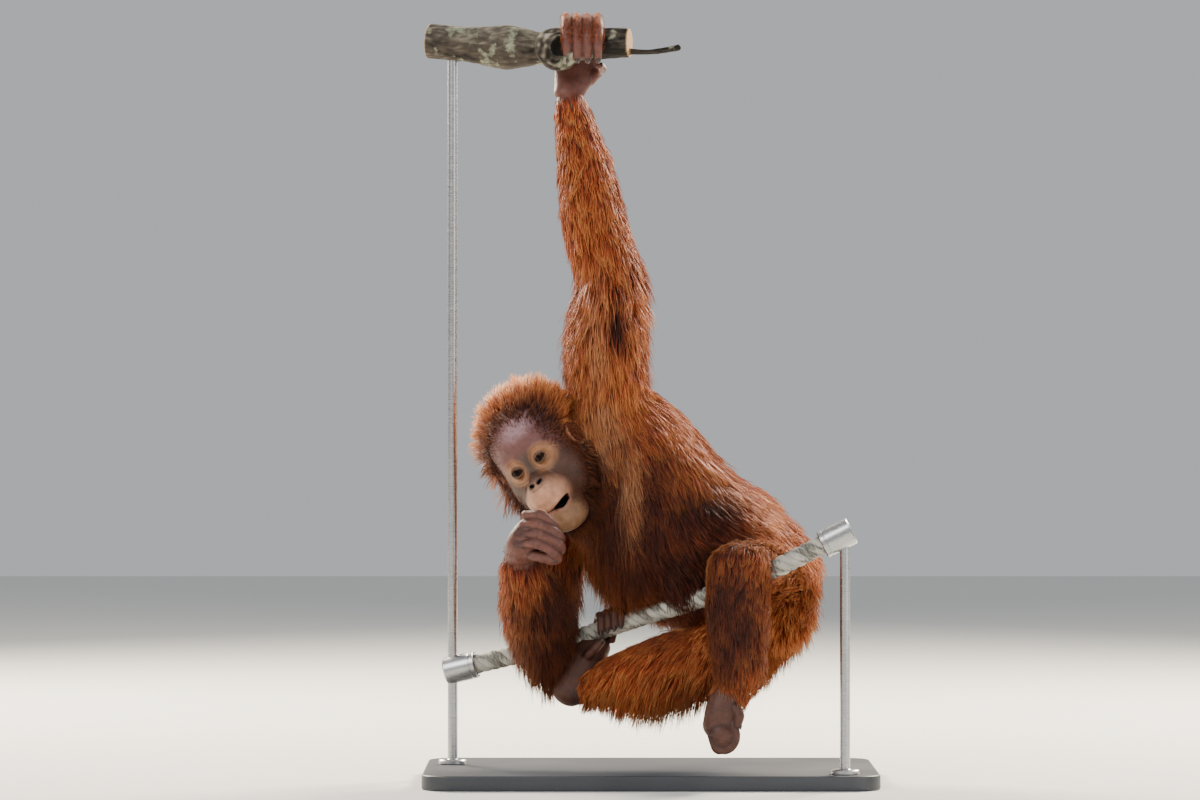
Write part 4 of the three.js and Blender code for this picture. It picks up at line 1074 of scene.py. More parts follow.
def off_the_perches(points):
    """Points pushed clear of the rope and of the two rods"""
    for start in range(0, len(points), BATCH):
        part = points[start : start + BATCH]
        gap = part[:, None, :] - rope_at[None, ::4]
        d = np.linalg.norm(gap, axis=2)
        rows = (np.arange(len(part)), d.argmin(axis=1))
        part += unit(gap[rows]) * np.clip(ROPE_RADIUS + ROPE_CLEAR - d[rows], 0, None)[:, None]
    for rod in (ROD_TALL, ROD_SHORT):
        gap = (points - (rod["x"], rod["y"], 0)) * (1, 1, 0)
        short = np.clip(ROD_RADIUS + ROD_CLEAR - np.linalg.norm(gap, axis=1), 0, None)
        points += unit(gap) * (short * (points[:, 2] < rod["top"]))[:, None]
    return points


def tuft_paths(roots, normals, lie, length, stand, hang):
    """Each tuft's line: from under the skin over two bends to its tip"""
    count = len(roots)
    grow = length * rng.uniform(*TUFT["grow"], count)
    rise = stand * rng.uniform(*TUFT["rise"], count)
    stray = rng.normal(0, TUFT["stray"], (count, 3))
    heading = unit(lie + np.clip(rise / grow, 0.1, 0.9)[:, None] * normals + stray)
    curl = rng.normal(0, 1, (count, 3)) * CURL
    path = [roots - normals * TUFT["sunk"]]
    at = roots.copy()
    for share, step in BENDS:
        heading = unit(heading + DOWN * (hang * share * TUFT["heavy"])[:, None])
        at = at + heading * (grow * step)[:, None]
        lowest = TUFT["clear"] + 0.35 * rise * share
        highest = lowest + 0.8 * rise * share + np.clip(hang - 0.5, 0, 1) * FREE_SINK * share
        at = off_the_perches(off_the_skin(at, lowest, highest))
        heading = unit(0.5 * heading + unit(at - path[-1]) + curl * share)
        path.append(at.copy())
    return np.stack(path, axis=1)


def wisped(paths, roots):
    """Tufts leaned towards the wisp that each belongs to"""
    order = rng.permutation(len(roots))[: max(1, len(roots) // WISP["each"])]
    tree = kdtree.KDTree(len(order))
    for i in order:
        tree.insert(roots[i], int(i))
    tree.balance()
    owner = np.array([tree.find(p)[1] for p in roots])
    gap = np.linalg.norm(roots - roots[owner], axis=1)
    keen = (rng.uniform(*WISP["keen"], len(roots)) * np.clip(1.6 - gap / WISP["reach"], 0, 1))[:, None]
    out = paths.copy()
    for step, pull in enumerate(WISP["pull"], 1):
        out[:, step] += (paths[owner, step] - paths[:, step]) * np.clip(pull * keen, 0, WISP["most"])
    return out


def coat_piece(name, paths, normals, uv, width, slot, **marks):
    """Joins many tufts into one mesh: each has a point, two rings of three and a point"""
    count = len(paths)
    across = unit(np.cross(normals, paths[:, 3] - paths[:, 0]) + rng.normal(0, 0.4, (count, 3)))
    verts = np.zeros((count, 8, 3))
    spread = np.zeros((count, 8, 2))
    verts[:, 0], verts[:, 7] = paths[:, 0], paths[:, 3]
    spread[:, 0], spread[:, 7] = (0, -0.5), (0, 0.5)
    along = np.tile(RINGS_OF, (count, 1))
    for ring in (1, 2):
        tangent = unit(paths[:, ring + 1] - paths[:, ring - 1])
        side = unit(across - (across * tangent).sum(axis=1)[:, None] * tangent)
        out = np.cross(side, tangent)
        half = (width * TUFT["rings"][ring - 1] / 2)[:, None]
        for corner in range(3):
            turn = 2 * math.pi * corner / 3 + math.pi / 2
            row = ring * 3 - 2 + corner
            off = side * math.cos(turn) + out * TUFT["flat"] * math.sin(turn)
            verts[:, row] = paths[:, ring] + half * off
            spread[:, row] = ((corner - 1) / 2, along[0, row] - 0.5)
    sides = [(k, (k + 1) % 3) for k in range(3)]
    one = [(0, 1 + b, 1 + a) for a, b in sides] + [(1 + a, 1 + b, 4 + b) for a, b in sides]
    one += [(1 + a, 4 + b, 4 + a) for a, b in sides] + [(4 + a, 4 + b, 7) for a, b in sides]
    faces = (np.array(one)[None] + (np.arange(count) * 8)[:, None, None]).reshape(-1, 3)
    mesh = bpy.data.meshes.new(name)
    mesh.vertices.add(count * 8)
    mesh.vertices.foreach_set("co", (verts * MM).astype(np.float32).ravel())
    mesh.loops.add(len(faces) * 3)
    mesh.loops.foreach_set("vertex_index", faces.astype(np.int32).ravel())
    mesh.polygons.add(len(faces))
    mesh.polygons.foreach_set("loop_start", np.arange(0, len(faces) * 3, 3, dtype=np.int32))
    flat = (uv[:, None, :] + spread * PATCH).reshape(-1, 2)[faces.ravel()]
    mesh.uv_layers.new(name="OFBake").data.foreach_set("uv", flat.astype(np.float32).ravel())
    rows = {"along": along, "shade": np.repeat(rng.normal(0, 1, count)[:, None], 8, axis=1)}
    rows.update({key: np.repeat(value[:, None], 8, axis=1) for key, value in marks.items()})
    for key, values in rows.items():
        write_marks(mesh, key, values)
    mesh.update(calc_edges=True)
    return place_object(name, mesh, hair)


print("tufts ready, to be kept clear of", round(rope_run), "mm of rope")

# %% [markdown]
# ## Hair finish
# Orangutan hair is keratin, semi-clear and silky. It is dark red-brown where it is dense, red where the light
# strikes it, and golden where light passes through the thin tips, which is why the outline of the animal
# seems to glow. One finish does all the coat, and it paints that shade and glow into the colour: each tuft
# darkens towards its root as painted shade and turns golden at its tip as a painted glow. It reads how far
# along the tuft a place is, a shade for each tuft, and the painted shade that the skin under it has too.

# %% Hair
# Ramps along a tuft. Each darkens towards the root as painted shade in the dense coat; the plain one turns
# golden at the tip as a painted glow of light through it, the dark one serves for painted shade and for the
# fuzz's own dark hair, the pale one is the coat's paler hair, and the last is a painted golden backlight.
HAIR = {
    "plain": ((0.0, "#32100a"), (0.36, "#873419"), (0.68, "#ad5228"), (0.97, "#e59a55")),
    "dark": ((0.0, "#140706"), (0.5, "#26100d"), (1.0, "#4e221a")),
    "pale": ((0.0, "#6e3c28"), (1.0, "#cf9c74")),
    "sunned": ((0.0, "#742b11"), (0.9, "#efa861")),
}


def hair_material():
    """Orangutan hair: keratin with a silky gloss, painted dark at the root as shade and golden at the tip as
    a glow of light through it
    """
    material, tree, shader = new_material("orangutan_hair_keratin")
    shade = mark(tree, "shade")
    shift = times_plus(tree, shade, 0.09, mark(tree, "along"))
    tone = {name: ramp(tree, shift, *stops) for name, stops in HAIR.items()}
    drift = times_plus(tree, cloud(tree, 26.0, 3.0), 0.8, -0.42)
    own = times_plus(tree, shade, 0.16, drift)
    # Painted shade: the dark mark, with a random shade for each tuft and soft noise, pulls the coat towards
    # the dark ramp
    dark = add_node(tree, "ShaderNodeMath", {0: mark(tree, "dark"), 1: own}, operation="ADD", use_clamp=True)
    # Painted backlight: the back and crown are mixed towards a golden ramp, as if lit from behind
    coat = mixed(tree, mark(tree, "sun"), tone["plain"], tone["sunned"])
    coat = mixed(tree, dark.outputs[0], coat, tone["dark"])
    set_inputs(tree, shader, {
        "Base Color": mixed(tree, mark(tree, "pale"), coat, tone["pale"]),
        "Roughness": 0.55,
        "IOR": 1.5,
        "Specular IOR Level": 0.26,
        "Sheen Weight": 0.07,
        "Sheen Roughness": 0.35,
        "Sheen Tint": linear("#ff9a50"),
    })
    return material


hair = hair_material()
print("hair finish:", hair.name)

# %% [markdown]
# ## Planting the coat
# The coat is planted in regions, so that no piece is too heavy to handle. Each region is a box, less what
# an earlier one has taken, and a tuft goes where the skin in it isn't bare.

# %% Comb and plant the coat
FAR = 1000  # millimetres, past the whole model
PLANTS = {  # the regions in turn: the lowest and highest corner (none for the head), tufts and their width
    "coat_head": (None, None, 16500, 0.78),
    "coat_arm_left": ((-FAR, -FAR, 455), (FAR, FAR, FAR), 16500, 1.15),
    "coat_rump": ((70, -20, 150), (FAR, FAR, 400), 14500, 1.4),
    "coat_back": ((-92, 5, 230), (FAR, FAR, 455), 15500, 1.4),
    "coat_front": ((-92, -98, 238), (FAR, 5, 455), 16500, 1.2),
    "coat_arm_right": ((-FAR, -FAR, 150), (-85, FAR, 455), 14000, 1.15),
    "coat_leg_left": ((40, -FAR, -FAR), (FAR, -70, FAR), 11000, 1.05),
    "coat_leg_right": ((-FAR, -FAR, -FAR), (FAR, FAR, 245), 13500, 1.25),
}
BARE_FROM = 0.6
QUICK_SHARE = 1.0
QUICK_WIDER = 1
coated = face_bare < BARE_FROM
taken = np.zeros(len(face_area), bool)
for name, (low, high, count, width) in PLANTS.items():
    inside = face_on_head
    if low:
        inside = ~face_on_head & (face_middle > low).all(axis=1) & (face_middle <= high).all(axis=1)
    mask = inside & coated & ~taken
    taken |= mask
    roots, normals, uv = sow(mask, int(count * QUICK_SHARE), np.clip(1.15 - face_bare, 0.1, 1))
    paths = wisped(tuft_paths(roots, normals, *combed(roots, normals)), roots)
    # The dark mark is painted shade, the pale one the coat's own paler hair, and the next a painted golden
    # backlight, which weakens the painted shade where it falls
    dark, pale = painted_shade_and_pale(roots)
    sun = sunned(roots, normals)
    pale = pale * rng.uniform(0.2, 1.1, len(roots))
    girth = width * rng.uniform(0.55, 1.2, len(roots)) * QUICK_WIDER
    coat_piece(name, paths, normals, uv, girth, "coat", dark=dark * (1 - 0.5 * sun), pale=pale, sun=sun)
print("without a coat:", round(float(face_area[coated & ~taken].sum()) / 100), "square centimetres")

# %% [markdown]
# ## Fuzz
# Bare skin isn't quite bare: sparse hairs of about a centimetre grow in from the edge of the face, and over
# the backs of the hands and feet, where they lie towards the digits.

# %% Fuzz of the face, hands and feet
FUZZ = {
    "coat_face_fuzz": {"count": 3600, "length": 9, "lie": 1, "stand": 0.35, "hang": 0.12, "width": 0.34},
    "coat_hand_fuzz": {"count": 2800, "length": 11, "lie": -1, "stand": 0.25, "hang": 0.22, "width": 0.51},
}
FUZZ_DEEP = 34  # how far in from the hairline the fuzz of the face thins out
BARE_MIDDLE = {"narrow": 0.8, "up": -20, "radius": 20}  # nose and lids have no fuzz
FUZZ_ABOVE = -84  # the face's fuzz ends at the chin
BACK_OF_HAND = {"above": 870, "facing": -0.2}
BACK_OF_FOOT = {"below": 330, "bare": 0.98}


def inwards(points):
    """How far places on the face lie in from the hairline, from 0 to 1"""
    local = into_head(points)
    return np.clip((local[:, 0] - hairline(local)) / FUZZ_DEEP, 0, 1)


def plant_fuzz(name, mask, crowd, length_share, darkness):
    """Plants sparse short hairs on bare skin. The last two say how long and dark they are, by their roots"""
    fuzz = FUZZ[name]
    roots, normals, uv = sow(mask, int(fuzz["count"] * QUICK_SHARE), crowd)
    lie = combed(roots, normals)[0] * fuzz["lie"]
    size = fuzz["length"] * length_share(roots)
    paths = tuft_paths(roots, normals, lie, size, fuzz["stand"] * size, np.full(len(roots), fuzz["hang"]))
    girth = fuzz["width"] * rng.uniform(0.6, 1.2, len(roots))
    none = np.zeros(len(roots))
    coat_piece(name, paths, normals, uv, girth, "coat", dark=none + darkness(roots), pale=none, sun=none)


local = into_head(face_middle)
from_nose = np.hypot(local[:, 1] * BARE_MIDDLE["narrow"], local[:, 2] - BARE_MIDDLE["up"])
on_face = face_on_head & ~coated & (from_nose >= BARE_MIDDLE["radius"]) & (local[:, 2] > FUZZ_ABOVE)
on_hand = (face_middle[:, 2] > BACK_OF_HAND["above"]) & (face_normal[:, 2] > BACK_OF_HAND["facing"])
on_foot = (face_middle[:, 2] < BACK_OF_FOOT["below"]) & (face_bare < BACK_OF_FOOT["bare"])
on_limbs = ~face_on_head & ~coated & (on_hand | on_foot)
plant_fuzz("coat_face_fuzz", on_face, (1 - inwards(face_middle)) ** 3 + 0.01, lambda p: 1.1 - inwards(p),
           lambda p: 0.8)
# The fuzz on the hands and feet is darker where the coat's painted shade falls
plant_fuzz("coat_hand_fuzz", on_limbs, np.ones(len(face_area)), lambda p: np.ones(len(p)),
           lambda p: 0.25 + painted_shade_and_pale(p)[0] * 0.6)
print("fuzz planted in", len(FUZZ), "pieces")

# %% [markdown]
# ## Skin and eyes
# An ape's skin is soft and slightly moist, with fine wrinkles, so it gets a little scattering under a broken
# gloss. Its colour changes over centimetres, from beige lids and lips to a purple-brown brow, so it is laid
# on as an attribute. The eye is wet, so it is the only sharp highlight on the animal.

# %% Skin
# Skin colours. Shadow is painted shade under the coat's shaded places, the crease colour is painted shade in
# the digits' creases, the mouth colour is painted shade in the nostrils and the mouth and also darkens the
# lids' inner rims, and gloss is a painted highlight on the brow over skin that is paler there.
SKIN = {
    "body": "#5e2a18", "shadow": "#2a110c", "scalp": "#4a2318", "hand": "#623a31", "foot": "#4b2b20",
    "painted_crease_shade": "#2a1512", "purple": "#643d39", "brown": "#472c20", "gloss": "#a98890", "bridge": "#40322a",
    "beige": "#bd8a6d", "chin": "#7f5d42", "lid": "#a3714c", "lip": "#96645a", "mouth": "#140a0a",
    "ear": "#8f5a3e",
}
FOOT_BELOW = 240  # bare skin lower than this is a foot's
KNUCKLE_FOLDS = (0.28, 0.34, 0.40, 0.58, 0.63, 0.68)  # shares of a digit's length
CREASE = {"between": 2.6, "over": 0.02, "near": 3}


def crease_shade_depth(points):
    """How much painted shade the creases of the digits get: over the knuckle folds and in the grooves between
    neighbours
    """
    depth = np.zeros(len(points))
    for limbs in HANDS.values():
        found = [limb_distances(stations(**limb), points) for limb in limbs]
        near = np.array([d for d, _ in found])
        place = np.array([which for _, which in found]) / (STATIONS - 1)
        first, second = np.argsort(near, axis=0)[:2]
        rows = np.arange(len(points))
        on = near[first, rows] < CREASE["near"]
        groove = np.clip(1 - (near[second, rows] - near[first, rows]) / CREASE["between"], 0, 1)
        fold = np.zeros(len(points))
        for knuckle in KNUCKLE_FOLDS:
            fold = np.maximum(fold, 1 - np.abs(place[first, rows] - knuckle) / CREASE["over"])
        depth = np.maximum(depth, np.maximum(0.85 * groove, 0.35 * fold) * on)
    return depth


def near_zero(distance, width):
    """1 where a distance is zero, down to 0 at a width on both sides"""
    return np.clip(1 - np.abs(distance) / width, 0, 1)


def skin_tones(points):
    """For places in millimetres: the colour of the skin, blended from soft regions, with painted shade and a
    painted highlight among them
    """
    local = into_head(points)
    f, s, u = local.T
    bare_now, on_head = bare(points)
    limb_skin = bare_now * ~on_head
    face = on_head * np.clip((f - 8) / 8, 0, 1)
    layers = [
        ("shadow", painted_shade_and_pale(points)[0]),
        ("hand", limb_skin),
        ("foot", limb_skin * (points[:, 2] < FOOT_BELOW)),
        # Painted shade in the creases over the knuckles and between the digits
        ("painted_crease_shade", limb_skin * crease_shade_depth(points)),
        ("scalp", on_head * np.clip((f + 5) / 12, 0, 1)),
        ("purple", face),
        ("brown", face * np.clip((6 - u) / 18, 0, 1)),
        # Painted highlight: a lighter, lilac patch on the upper brow stands for its gloss, over skin that is
        # paler there
        ("gloss", face * patch(local, (50, 10, 42), (30, 26, 14)) * 0.55),
        ("bridge", face * np.clip((20 - np.hypot(s, u + 2)) / 12, 0, 1) * 0.8),
        ("beige", face * patch(local, (64, 0, -49), (26, 27, 21)) * 1.4),
        ("chin", face * patch(local, (52, 4, -82), (30, 28, 20)) * 1.2),
    ]
    for sign in (1, -1):
        ahead, out, up = ((local - mirrored(EYE["at"], sign)) * (1, sign, 1)).T
        r = np.hypot(out * 0.86, up)
        oval = np.hypot(out / np.where(out > 0, 20, 13.5), up / np.where(up > 0, 17, 18))
        to_ear = np.linalg.norm(local - mirrored(EAR["at"], sign), axis=1)
        to_nostril = ball_distance(local, mirrored(NOSTRIL["at"], sign), NOSTRIL["radii"])
        layers += [
            ("lid", face * np.clip((1.15 - oval) / 0.5, 0, 1) * 0.85),
            # Painted shade: dark lines in the lids' folds, where the pale lids meet the skin round them
            ("brown", face * near_zero(oval - 0.82, 0.09) * 0.3),
            ("brown", face * near_zero(r - 11.2, 1.1) * 0.35),
            ("mouth", face * np.clip((8.4 - r) / 1.4, 0, 1) * (ahead > 3) * 0.75),
            ("ear", np.clip(13 - to_ear, 0, 1) * on_head * 0.9),
            # Painted shade inside the nostrils
            ("mouth", 1.5 - to_nostril),
        ]
    to_mouth = tube_distance(local, MOUTH_LINE, np.add(MOUTH_GAP, 1.2))
    layers += [
        ("brown", face * near_zero(np.hypot(s * 0.9, u + 27) - 8, 5) * (u > -34) * 0.6),
        ("lip", face * np.clip(1 - to_mouth / 2.2, 0, 1) * 0.6),
        # Painted shade inside the open mouth
        ("mouth", on_head * (head_distance(local) < -1.6) * (u < -50)),
    ]
    tone = np.tile(linear(SKIN["body"])[:3], (len(points), 1))
    for colour, amount in layers:
        amount = np.clip(amount, 0, 1)[:, None]
        tone = tone * (1 - amount) + np.array(linear(SKIN[colour])[:3]) * amount
    return tone


def skin_material():
    """Ape skin: soft, finely wrinkled and slightly moist, its colour laid on as an attribute"""
    material, tree, shader = new_material("bare_ape_skin")
    mottle = remap(tree, cloud(tree, 130.0, 4.0), 0.3, 0.7, 0.78, 1.2)
    place = add_node(tree, "ShaderNodeTexCoord").outputs["Object"]
    pores = add_node(tree, "ShaderNodeTexVoronoi", {"Vector": place, "Scale": 750.0}).outputs["Distance"]
    wrinkles = cloud(tree, 420.0, 5.0, Roughness=0.62)
    set_inputs(tree, shader, {
        "Base Color": scaled(tree, mark(tree, "tone", "Color"), mottle),
        "Roughness": remap(tree, wrinkles, 0.3, 0.7, 0.38, 0.58),
        "Normal": bump(tree, times_plus(tree, pores, 0.5, wrinkles), 0.6, 0.0008),
        "IOR": 1.42,
        "Subsurface Weight": 0.12,
        "Subsurface Radius": (0.0025, 0.0011, 0.0007),
        "Subsurface Scale": 1.0,
    })
    return material


FLESH_NODES = ["head", "torso", "neck", "forearm_left", "upper_arm_left", "forearm_right", "upper_arm_right",
               "shin_left", "thigh_left", "shin_right", "thigh_right", "hand_left", "hand_right", "foot_left",
               "foot_right", "ear_left", "ear_right"]
skin_mesh.name = "skin"
skin_mesh.uv_layers.remove(skin_mesh.uv_layers["OFBake"])
tones = np.ones((len(skin_co), 4), np.float32)
tones[:, :3] = skin_tones(skin_co)
skin_mesh.color_attributes.new("tone", "FLOAT_COLOR", "POINT").data.foreach_set("color", tones.ravel())
skin = place_object("skin", skin_mesh, skin_material(), FLESH_NODES)

# %% Eyes
# The pupil, the iris, its dark rim and the white, by their centimetres from the middle of the pupil
EYE_RINGS = ((0.0, "#020101"), (0.24, "#020101"), (0.27, "#1c0d06"), (0.46, "#2e160a"), (0.52, "#080403"),
             (0.62, "#1e130e"))
CORNEA = {"bulge": 0.055, "spread": 30}  # a share of the radius, and degrees off the gaze


def eye_material():
    """A wet eye: a black pupil, a deep brown iris and a dark sclera under one clear coat"""
    material, tree, shader = new_material("wet_eye")
    set_inputs(tree, shader, {
        "Base Color": ramp(tree, mark(tree, "from_pupil"), *EYE_RINGS),
        "Roughness": 0.12,
        "IOR": 1.38,
        "Specular IOR Level": 0.06,
        "Coat Weight": 0.1,
        "Coat Roughness": 0.03,
    })
    return material


eye_finish = eye_material()
for name, sign in (("eye_left", 1), ("eye_right", -1)):
    bm = bmesh.new()
    bmesh.ops.create_icosphere(bm, subdivisions=5, radius=EYE["radius"])
    ball = np.array([v.co for v in bm.verts])
    gaze = unit(np.array((1.0, -0.05 * sign, 0.02)))
    apart = np.degrees(np.arccos(np.clip(unit(ball) @ gaze, -1, 1)))
    bulge = 1 + CORNEA["bulge"] * np.exp(-((apart / CORNEA["spread"]) ** 2))
    for v, spot, swell in zip(bm.verts, ball, bulge):
        v.co = from_head(mirrored(EYE["at"], sign) + spot * swell)
    mesh = finished(bm, name)
    write_marks(mesh, "from_pupil", np.radians(apart) * EYE["radius"] / 10)
    place_object(name + "_ball", mesh, eye_finish, [name])

# %% [markdown]
# ## Nails
# An ape has flat nails, not claws: thin, arched plates of dark keratin set into the back of each digit's
# tip. A ball pressed flat and bent over the digit is enough at this size. The back of a digit is the outer
# side of its curl, so each nail finds its own place from the digit's line.

# %% Nails
NAIL = {"long": 4.0, "wide": 0.72, "thick": 0.9, "arch": 0.5, "droop": 0.35, "back": 2.2, "height": 0.93}
LAST_BEND = 24  # the stations from here on tell which way a digit curls


def nail_material():
    """Keratin nail: dark, smooth along its length, with a soft shine"""
    material, tree, shader = new_material("dark_keratin_nail")
    set_inputs(tree, shader, {
        "Base Color": ramp(tree, cloud(tree, 600.0, 2.0), (0.3, "#1d120f"), (0.7, "#3d2923")),
        "Roughness": 0.32,
        "IOR": 1.54,
    })
    return material


def add_nail(bm, line, girth, cap, **_):
    """Sets one nail into the back of a digit's tip"""
    run = stations(line, girth)
    tip, ahead, girth = run["at"][-1], run["tangent"][-1], run["half"][-1][0]
    outer = unit(tip - run["at"][LAST_BEND:].mean(axis=0) - 0.001)
    outer = unit(outer - (outer @ ahead) * ahead)
    side = np.cross(ahead, outer)
    middle = tip + ahead * (girth * cap - NAIL["back"]) + outer * (girth * NAIL["height"])
    wide = girth * NAIL["wide"]
    for v in bmesh.ops.create_uvsphere(bm, u_segments=14, v_segments=8, radius=1)["verts"]:
        a, b, c = v.co
        drop = NAIL["arch"] * wide * b * b + NAIL["droop"] * NAIL["long"] * max(a, 0) ** 2
        v.co = middle + ahead * (a * NAIL["long"]) + side * (b * wide) + outer * (c * NAIL["thick"] - drop)


digits = [limb for limbs in HANDS.values() for limb in limbs if "cap" in limb]
bm = bmesh.new()
for limb in digits:
    add_nail(bm, **limb)
place_object("nails", finished(bm, "nails"), nail_material())
print("nails:", len(digits))

# %% [markdown]
# ## The branch
# The branch is a bent length of forest wood with the callus of a lost side branch round a hollow that is
# painted dark as shade. Its masses are melted together in voxels, both ends are sawn off flat, and the bark
# is pushed in and out by noise drawn out along the wood, because bark splits lengthwise. The underside is
# painted a little darker as shade. Pale patches of lichen sit on its top.

# %% Branch
BRANCH_LINE = [(-266, 46, 892), (-184, 28, 884), (-113, 12, 881), (-78, 4, 885), (-44, -4, 886),
               (-26, -8, 886)]
BRANCH_GIRTH = (22.5, 22.5, 29, 19, 21, 19)
TWIG_LINE = [(-36, -8, 876), (2, -10, 875), (34, -13, 880)]
TWIG_GIRTH = (4.5, 3.6, 4.4)
KNOT = {"at": (-110, -10, 878), "outer": 26, "reach": 24}
KNOT_BALLS = ((0, 1.0, 1.0), (-7, 0.86, 0.9), (5, 0.8, 1.0))  # how far along, how large, how far out
HOLLOW = {"at": Vector((-108, -34, 879)), "radii": Vector((10.4, 13, 13))}
BARK_VOXEL = 1.7
COARSE = (34, 2.2)  # bark's noise: how far along the wood a wave is, and how many go round it
FINE = (8, 6)
SWIRL = {"at": 19, "lumps_at": 20, "mouth": 11, "wave": 0.7}  # round the knot's hollow
SAW = {"past": 1.5, "from": -1.1, "to": 4, "radius": 26, "facing": 0.6}  # where an end counts as sawn flat
branch_at, branch_tangent, branch_run = course(BRANCH_LINE, 200)


def bark_material():
    """Weathered bark: dark in its cracks, grey on its ridges, with pale lichen, and bare wood where sawn"""
    material, tree, shader = new_material("weathered_branch_bark")
    grain = cloud(tree, 1.0, 6.0, stretched(tree, (60, 240, 240)), Roughness=0.65)
    patches = cloud(tree, 38.0, 5.0, Roughness=0.6)
    relief = times_plus(tree, grain, 0.55, mark(tree, "depth"))
    bark = ramp(tree, relief, (0.25, "#15110d"), (0.55, "#4a4238"), (0.78, "#7d7566"), (1.0, "#a39d8c"))
    crust = mixed(tree, remap(tree, patches, 0.55, 0.64), bark, linear("#8c8f78"))
    rings = add_node(tree, "ShaderNodeMath", {0: mark(tree, "ring"), 1: 2.6}, operation="MULTIPLY")
    wave = add_node(tree, "ShaderNodeMath", {0: rings.outputs[0]}, operation="SINE")
    wood = ramp(tree, wave.outputs[0], (0.0, "#b08d62"), (1.0, "#8f6a43"))
    set_inputs(tree, shader, {
        "Base Color": mixed(tree, mark(tree, "sawn"), crust, wood),
        "Normal": bump(tree, grain, 0.55, 0.0012),
        "Roughness": 0.85,
        "Specular IOR Level": 0.3,
    })
    return material


def branch_clay():
    """The branch's masses melted together, with the knot's hollow cut into them"""
    bm = bmesh.new()
    girth = [(r, r * 0.96) for r in BRANCH_GIRTH]
    add_limb(bm, BRANCH_LINE, girth, (0, 1, 0), sides=32, rings=60, cap=0.12, cap_share=0.1)
    add_limb(bm, TWIG_LINE, TWIG_GIRTH, sides=12, rings=30)
    for along, size, swell in KNOT_BALLS:
        at = Vector(KNOT["at"]) + Vector((along, 0, -0.4 * along))
        radii = Vector((KNOT["outer"] * size, KNOT["reach"] * swell, KNOT["outer"] * 1.03 * size))
        place = Matrix.LocRotScale(at, None, radii)
        bmesh.ops.create_uvsphere(bm, u_segments=32, v_segments=20, radius=1, matrix=place)
    cutter = bmesh.new()
    place = Matrix.LocRotScale(HOLLOW["at"], None, HOLLOW["radii"])
    bmesh.ops.create_uvsphere(cutter, u_segments=24, v_segments=16, radius=1, matrix=place)
    return melted(finished(bm, "branch"), BARK_VOXEL, 3, finished(cutter, "hollow"))


def wood_noise(along, turn, length, waves):
    """Noise drawn out along the wood"""
    return noise.noise(Vector((along / length, math.cos(turn) * waves, math.sin(turn) * waves)))


def bark_relief(p):
    """How far the bark stands out at a place, and how light it is in there"""
    k = int(np.linalg.norm(branch_at - p, axis=1).argmin())
    along = k / len(branch_at) * branch_run
    around = p - branch_at[k]
    girth = np.linalg.norm(around)
    turn = math.atan2(around[2], around[1])
    coarse = wood_noise(along, turn, *COARSE)
    fine = wood_noise(along, turn, *FINE)
    knot = np.linalg.norm((p - np.array(HOLLOW["at"])) / (1, 1.6, 1))
    lumps = noise.noise(Vector(p) / 7.0) * max(0.0, 1 - abs(knot - SWIRL["lumps_at"]) / 15)
    near = max(0.0, 1 - abs(knot - SWIRL["at"]) / 13)
    swirl = math.sin(knot * SWIRL["wave"] + 5 * coarse + 2 * fine) * near
    push = 0.8 * coarse + 0.5 * fine + 0.7 * swirl + 2.2 * lumps - 0.5
    # Painted shade: darker inside the knot's hollow and on the underside; it is also darker past x = -70
    dark = (0.6 if knot < SWIRL["mouth"] else 0) + 0.22 * (p[0] > -70) + 0.12 * (around[2] < 0)
    return push * min(1.0, girth / 12), 0.46 + 0.3 * push - dark


def barked(clay):
    """The clay with its ends sawn flat and its bark pushed in and out"""
    bm = bmesh.new()
    bm.from_mesh(clay)
    bm.normal_update()
    depth, sawn, ring = [bm.verts.layers.float.new(name) for name in ("depth", "sawn", "ring")]
    ends = [(branch_at[0], -branch_tangent[0]), (branch_at[-1], branch_tangent[-1])]
    for v in bm.verts:
        p = np.array(v.co) / MM
        for at, away in ends:
            beyond = (p - at) @ away - SAW["past"]
            out = np.linalg.norm(p - at - (beyond + SAW["past"]) * away)
            faces_out = v.normal @ Vector(away) > SAW["facing"]
            if SAW["from"] < beyond < SAW["to"] and out < SAW["radius"] and faces_out:
                v.co -= Vector(away) * (beyond * MM)
                v[sawn], v[ring] = 1, out
        if not v[sawn]:
            push, v[depth] = bark_relief(p)
            v.co += v.normal * (push * MM)
    mesh = bpy.data.meshes.new("branch")
    bm.to_mesh(mesh)
    bm.free()
    return mesh


place_object("branch", barked(branch_clay()), bark_material(), ["perch_branch"])

# %% [markdown]
# ## The rope
# A laid rope is strands twisted one way, each of them yarns twisted the other way, so that it can't unwind.
# Here four strands are rolled tubes on a helix of one turn in 43 mm, and the yarns are ridges on them. It is
# a hard-laid rope, and its two ends are gripped by the stand's ferrules.

# %% Rope
STRANDS = 4
TURN_LENGTH = 43  # along which one strand goes once round
STRAND = {"off": 6.5, "radius": 5.1, "yarns": 6, "ridge": 0.06, "sides": 16, "step": 1.4}


def rope_material():
    """Weathered plant-fibre rope: grey yarns with pale broken fibres, painted shade in the grooves and
    patches of dirt
    """
    material, tree, shader = new_material("weathered_laid_rope")
    along_yarn = stretched(tree, (0.35, 3.0, 1.0), mark(tree, "fibre", "Vector"))
    fibres = cloud(tree, 1.0, 5.0, along_yarn, Roughness=0.7)
    relief = times_plus(tree, fibres, 0.7, mark(tree, "groove"))
    grey = ramp(tree, relief, (0.2, "#1f1d19"), (0.5, "#5d5c55"), (0.8, "#8b8a82"), (1.0, "#b3b1a8"))
    dirt = remap(tree, cloud(tree, 55.0, 3.0), 0.35, 0.65, 0.78, 1.08)
    set_inputs(tree, shader, {
        "Base Color": scaled(tree, grey, dirt),
        "Normal": bump(tree, fibres, 0.6, 0.0007),
        "Roughness": 0.88,
        "Specular IOR Level": 0.25,
    })
    return material


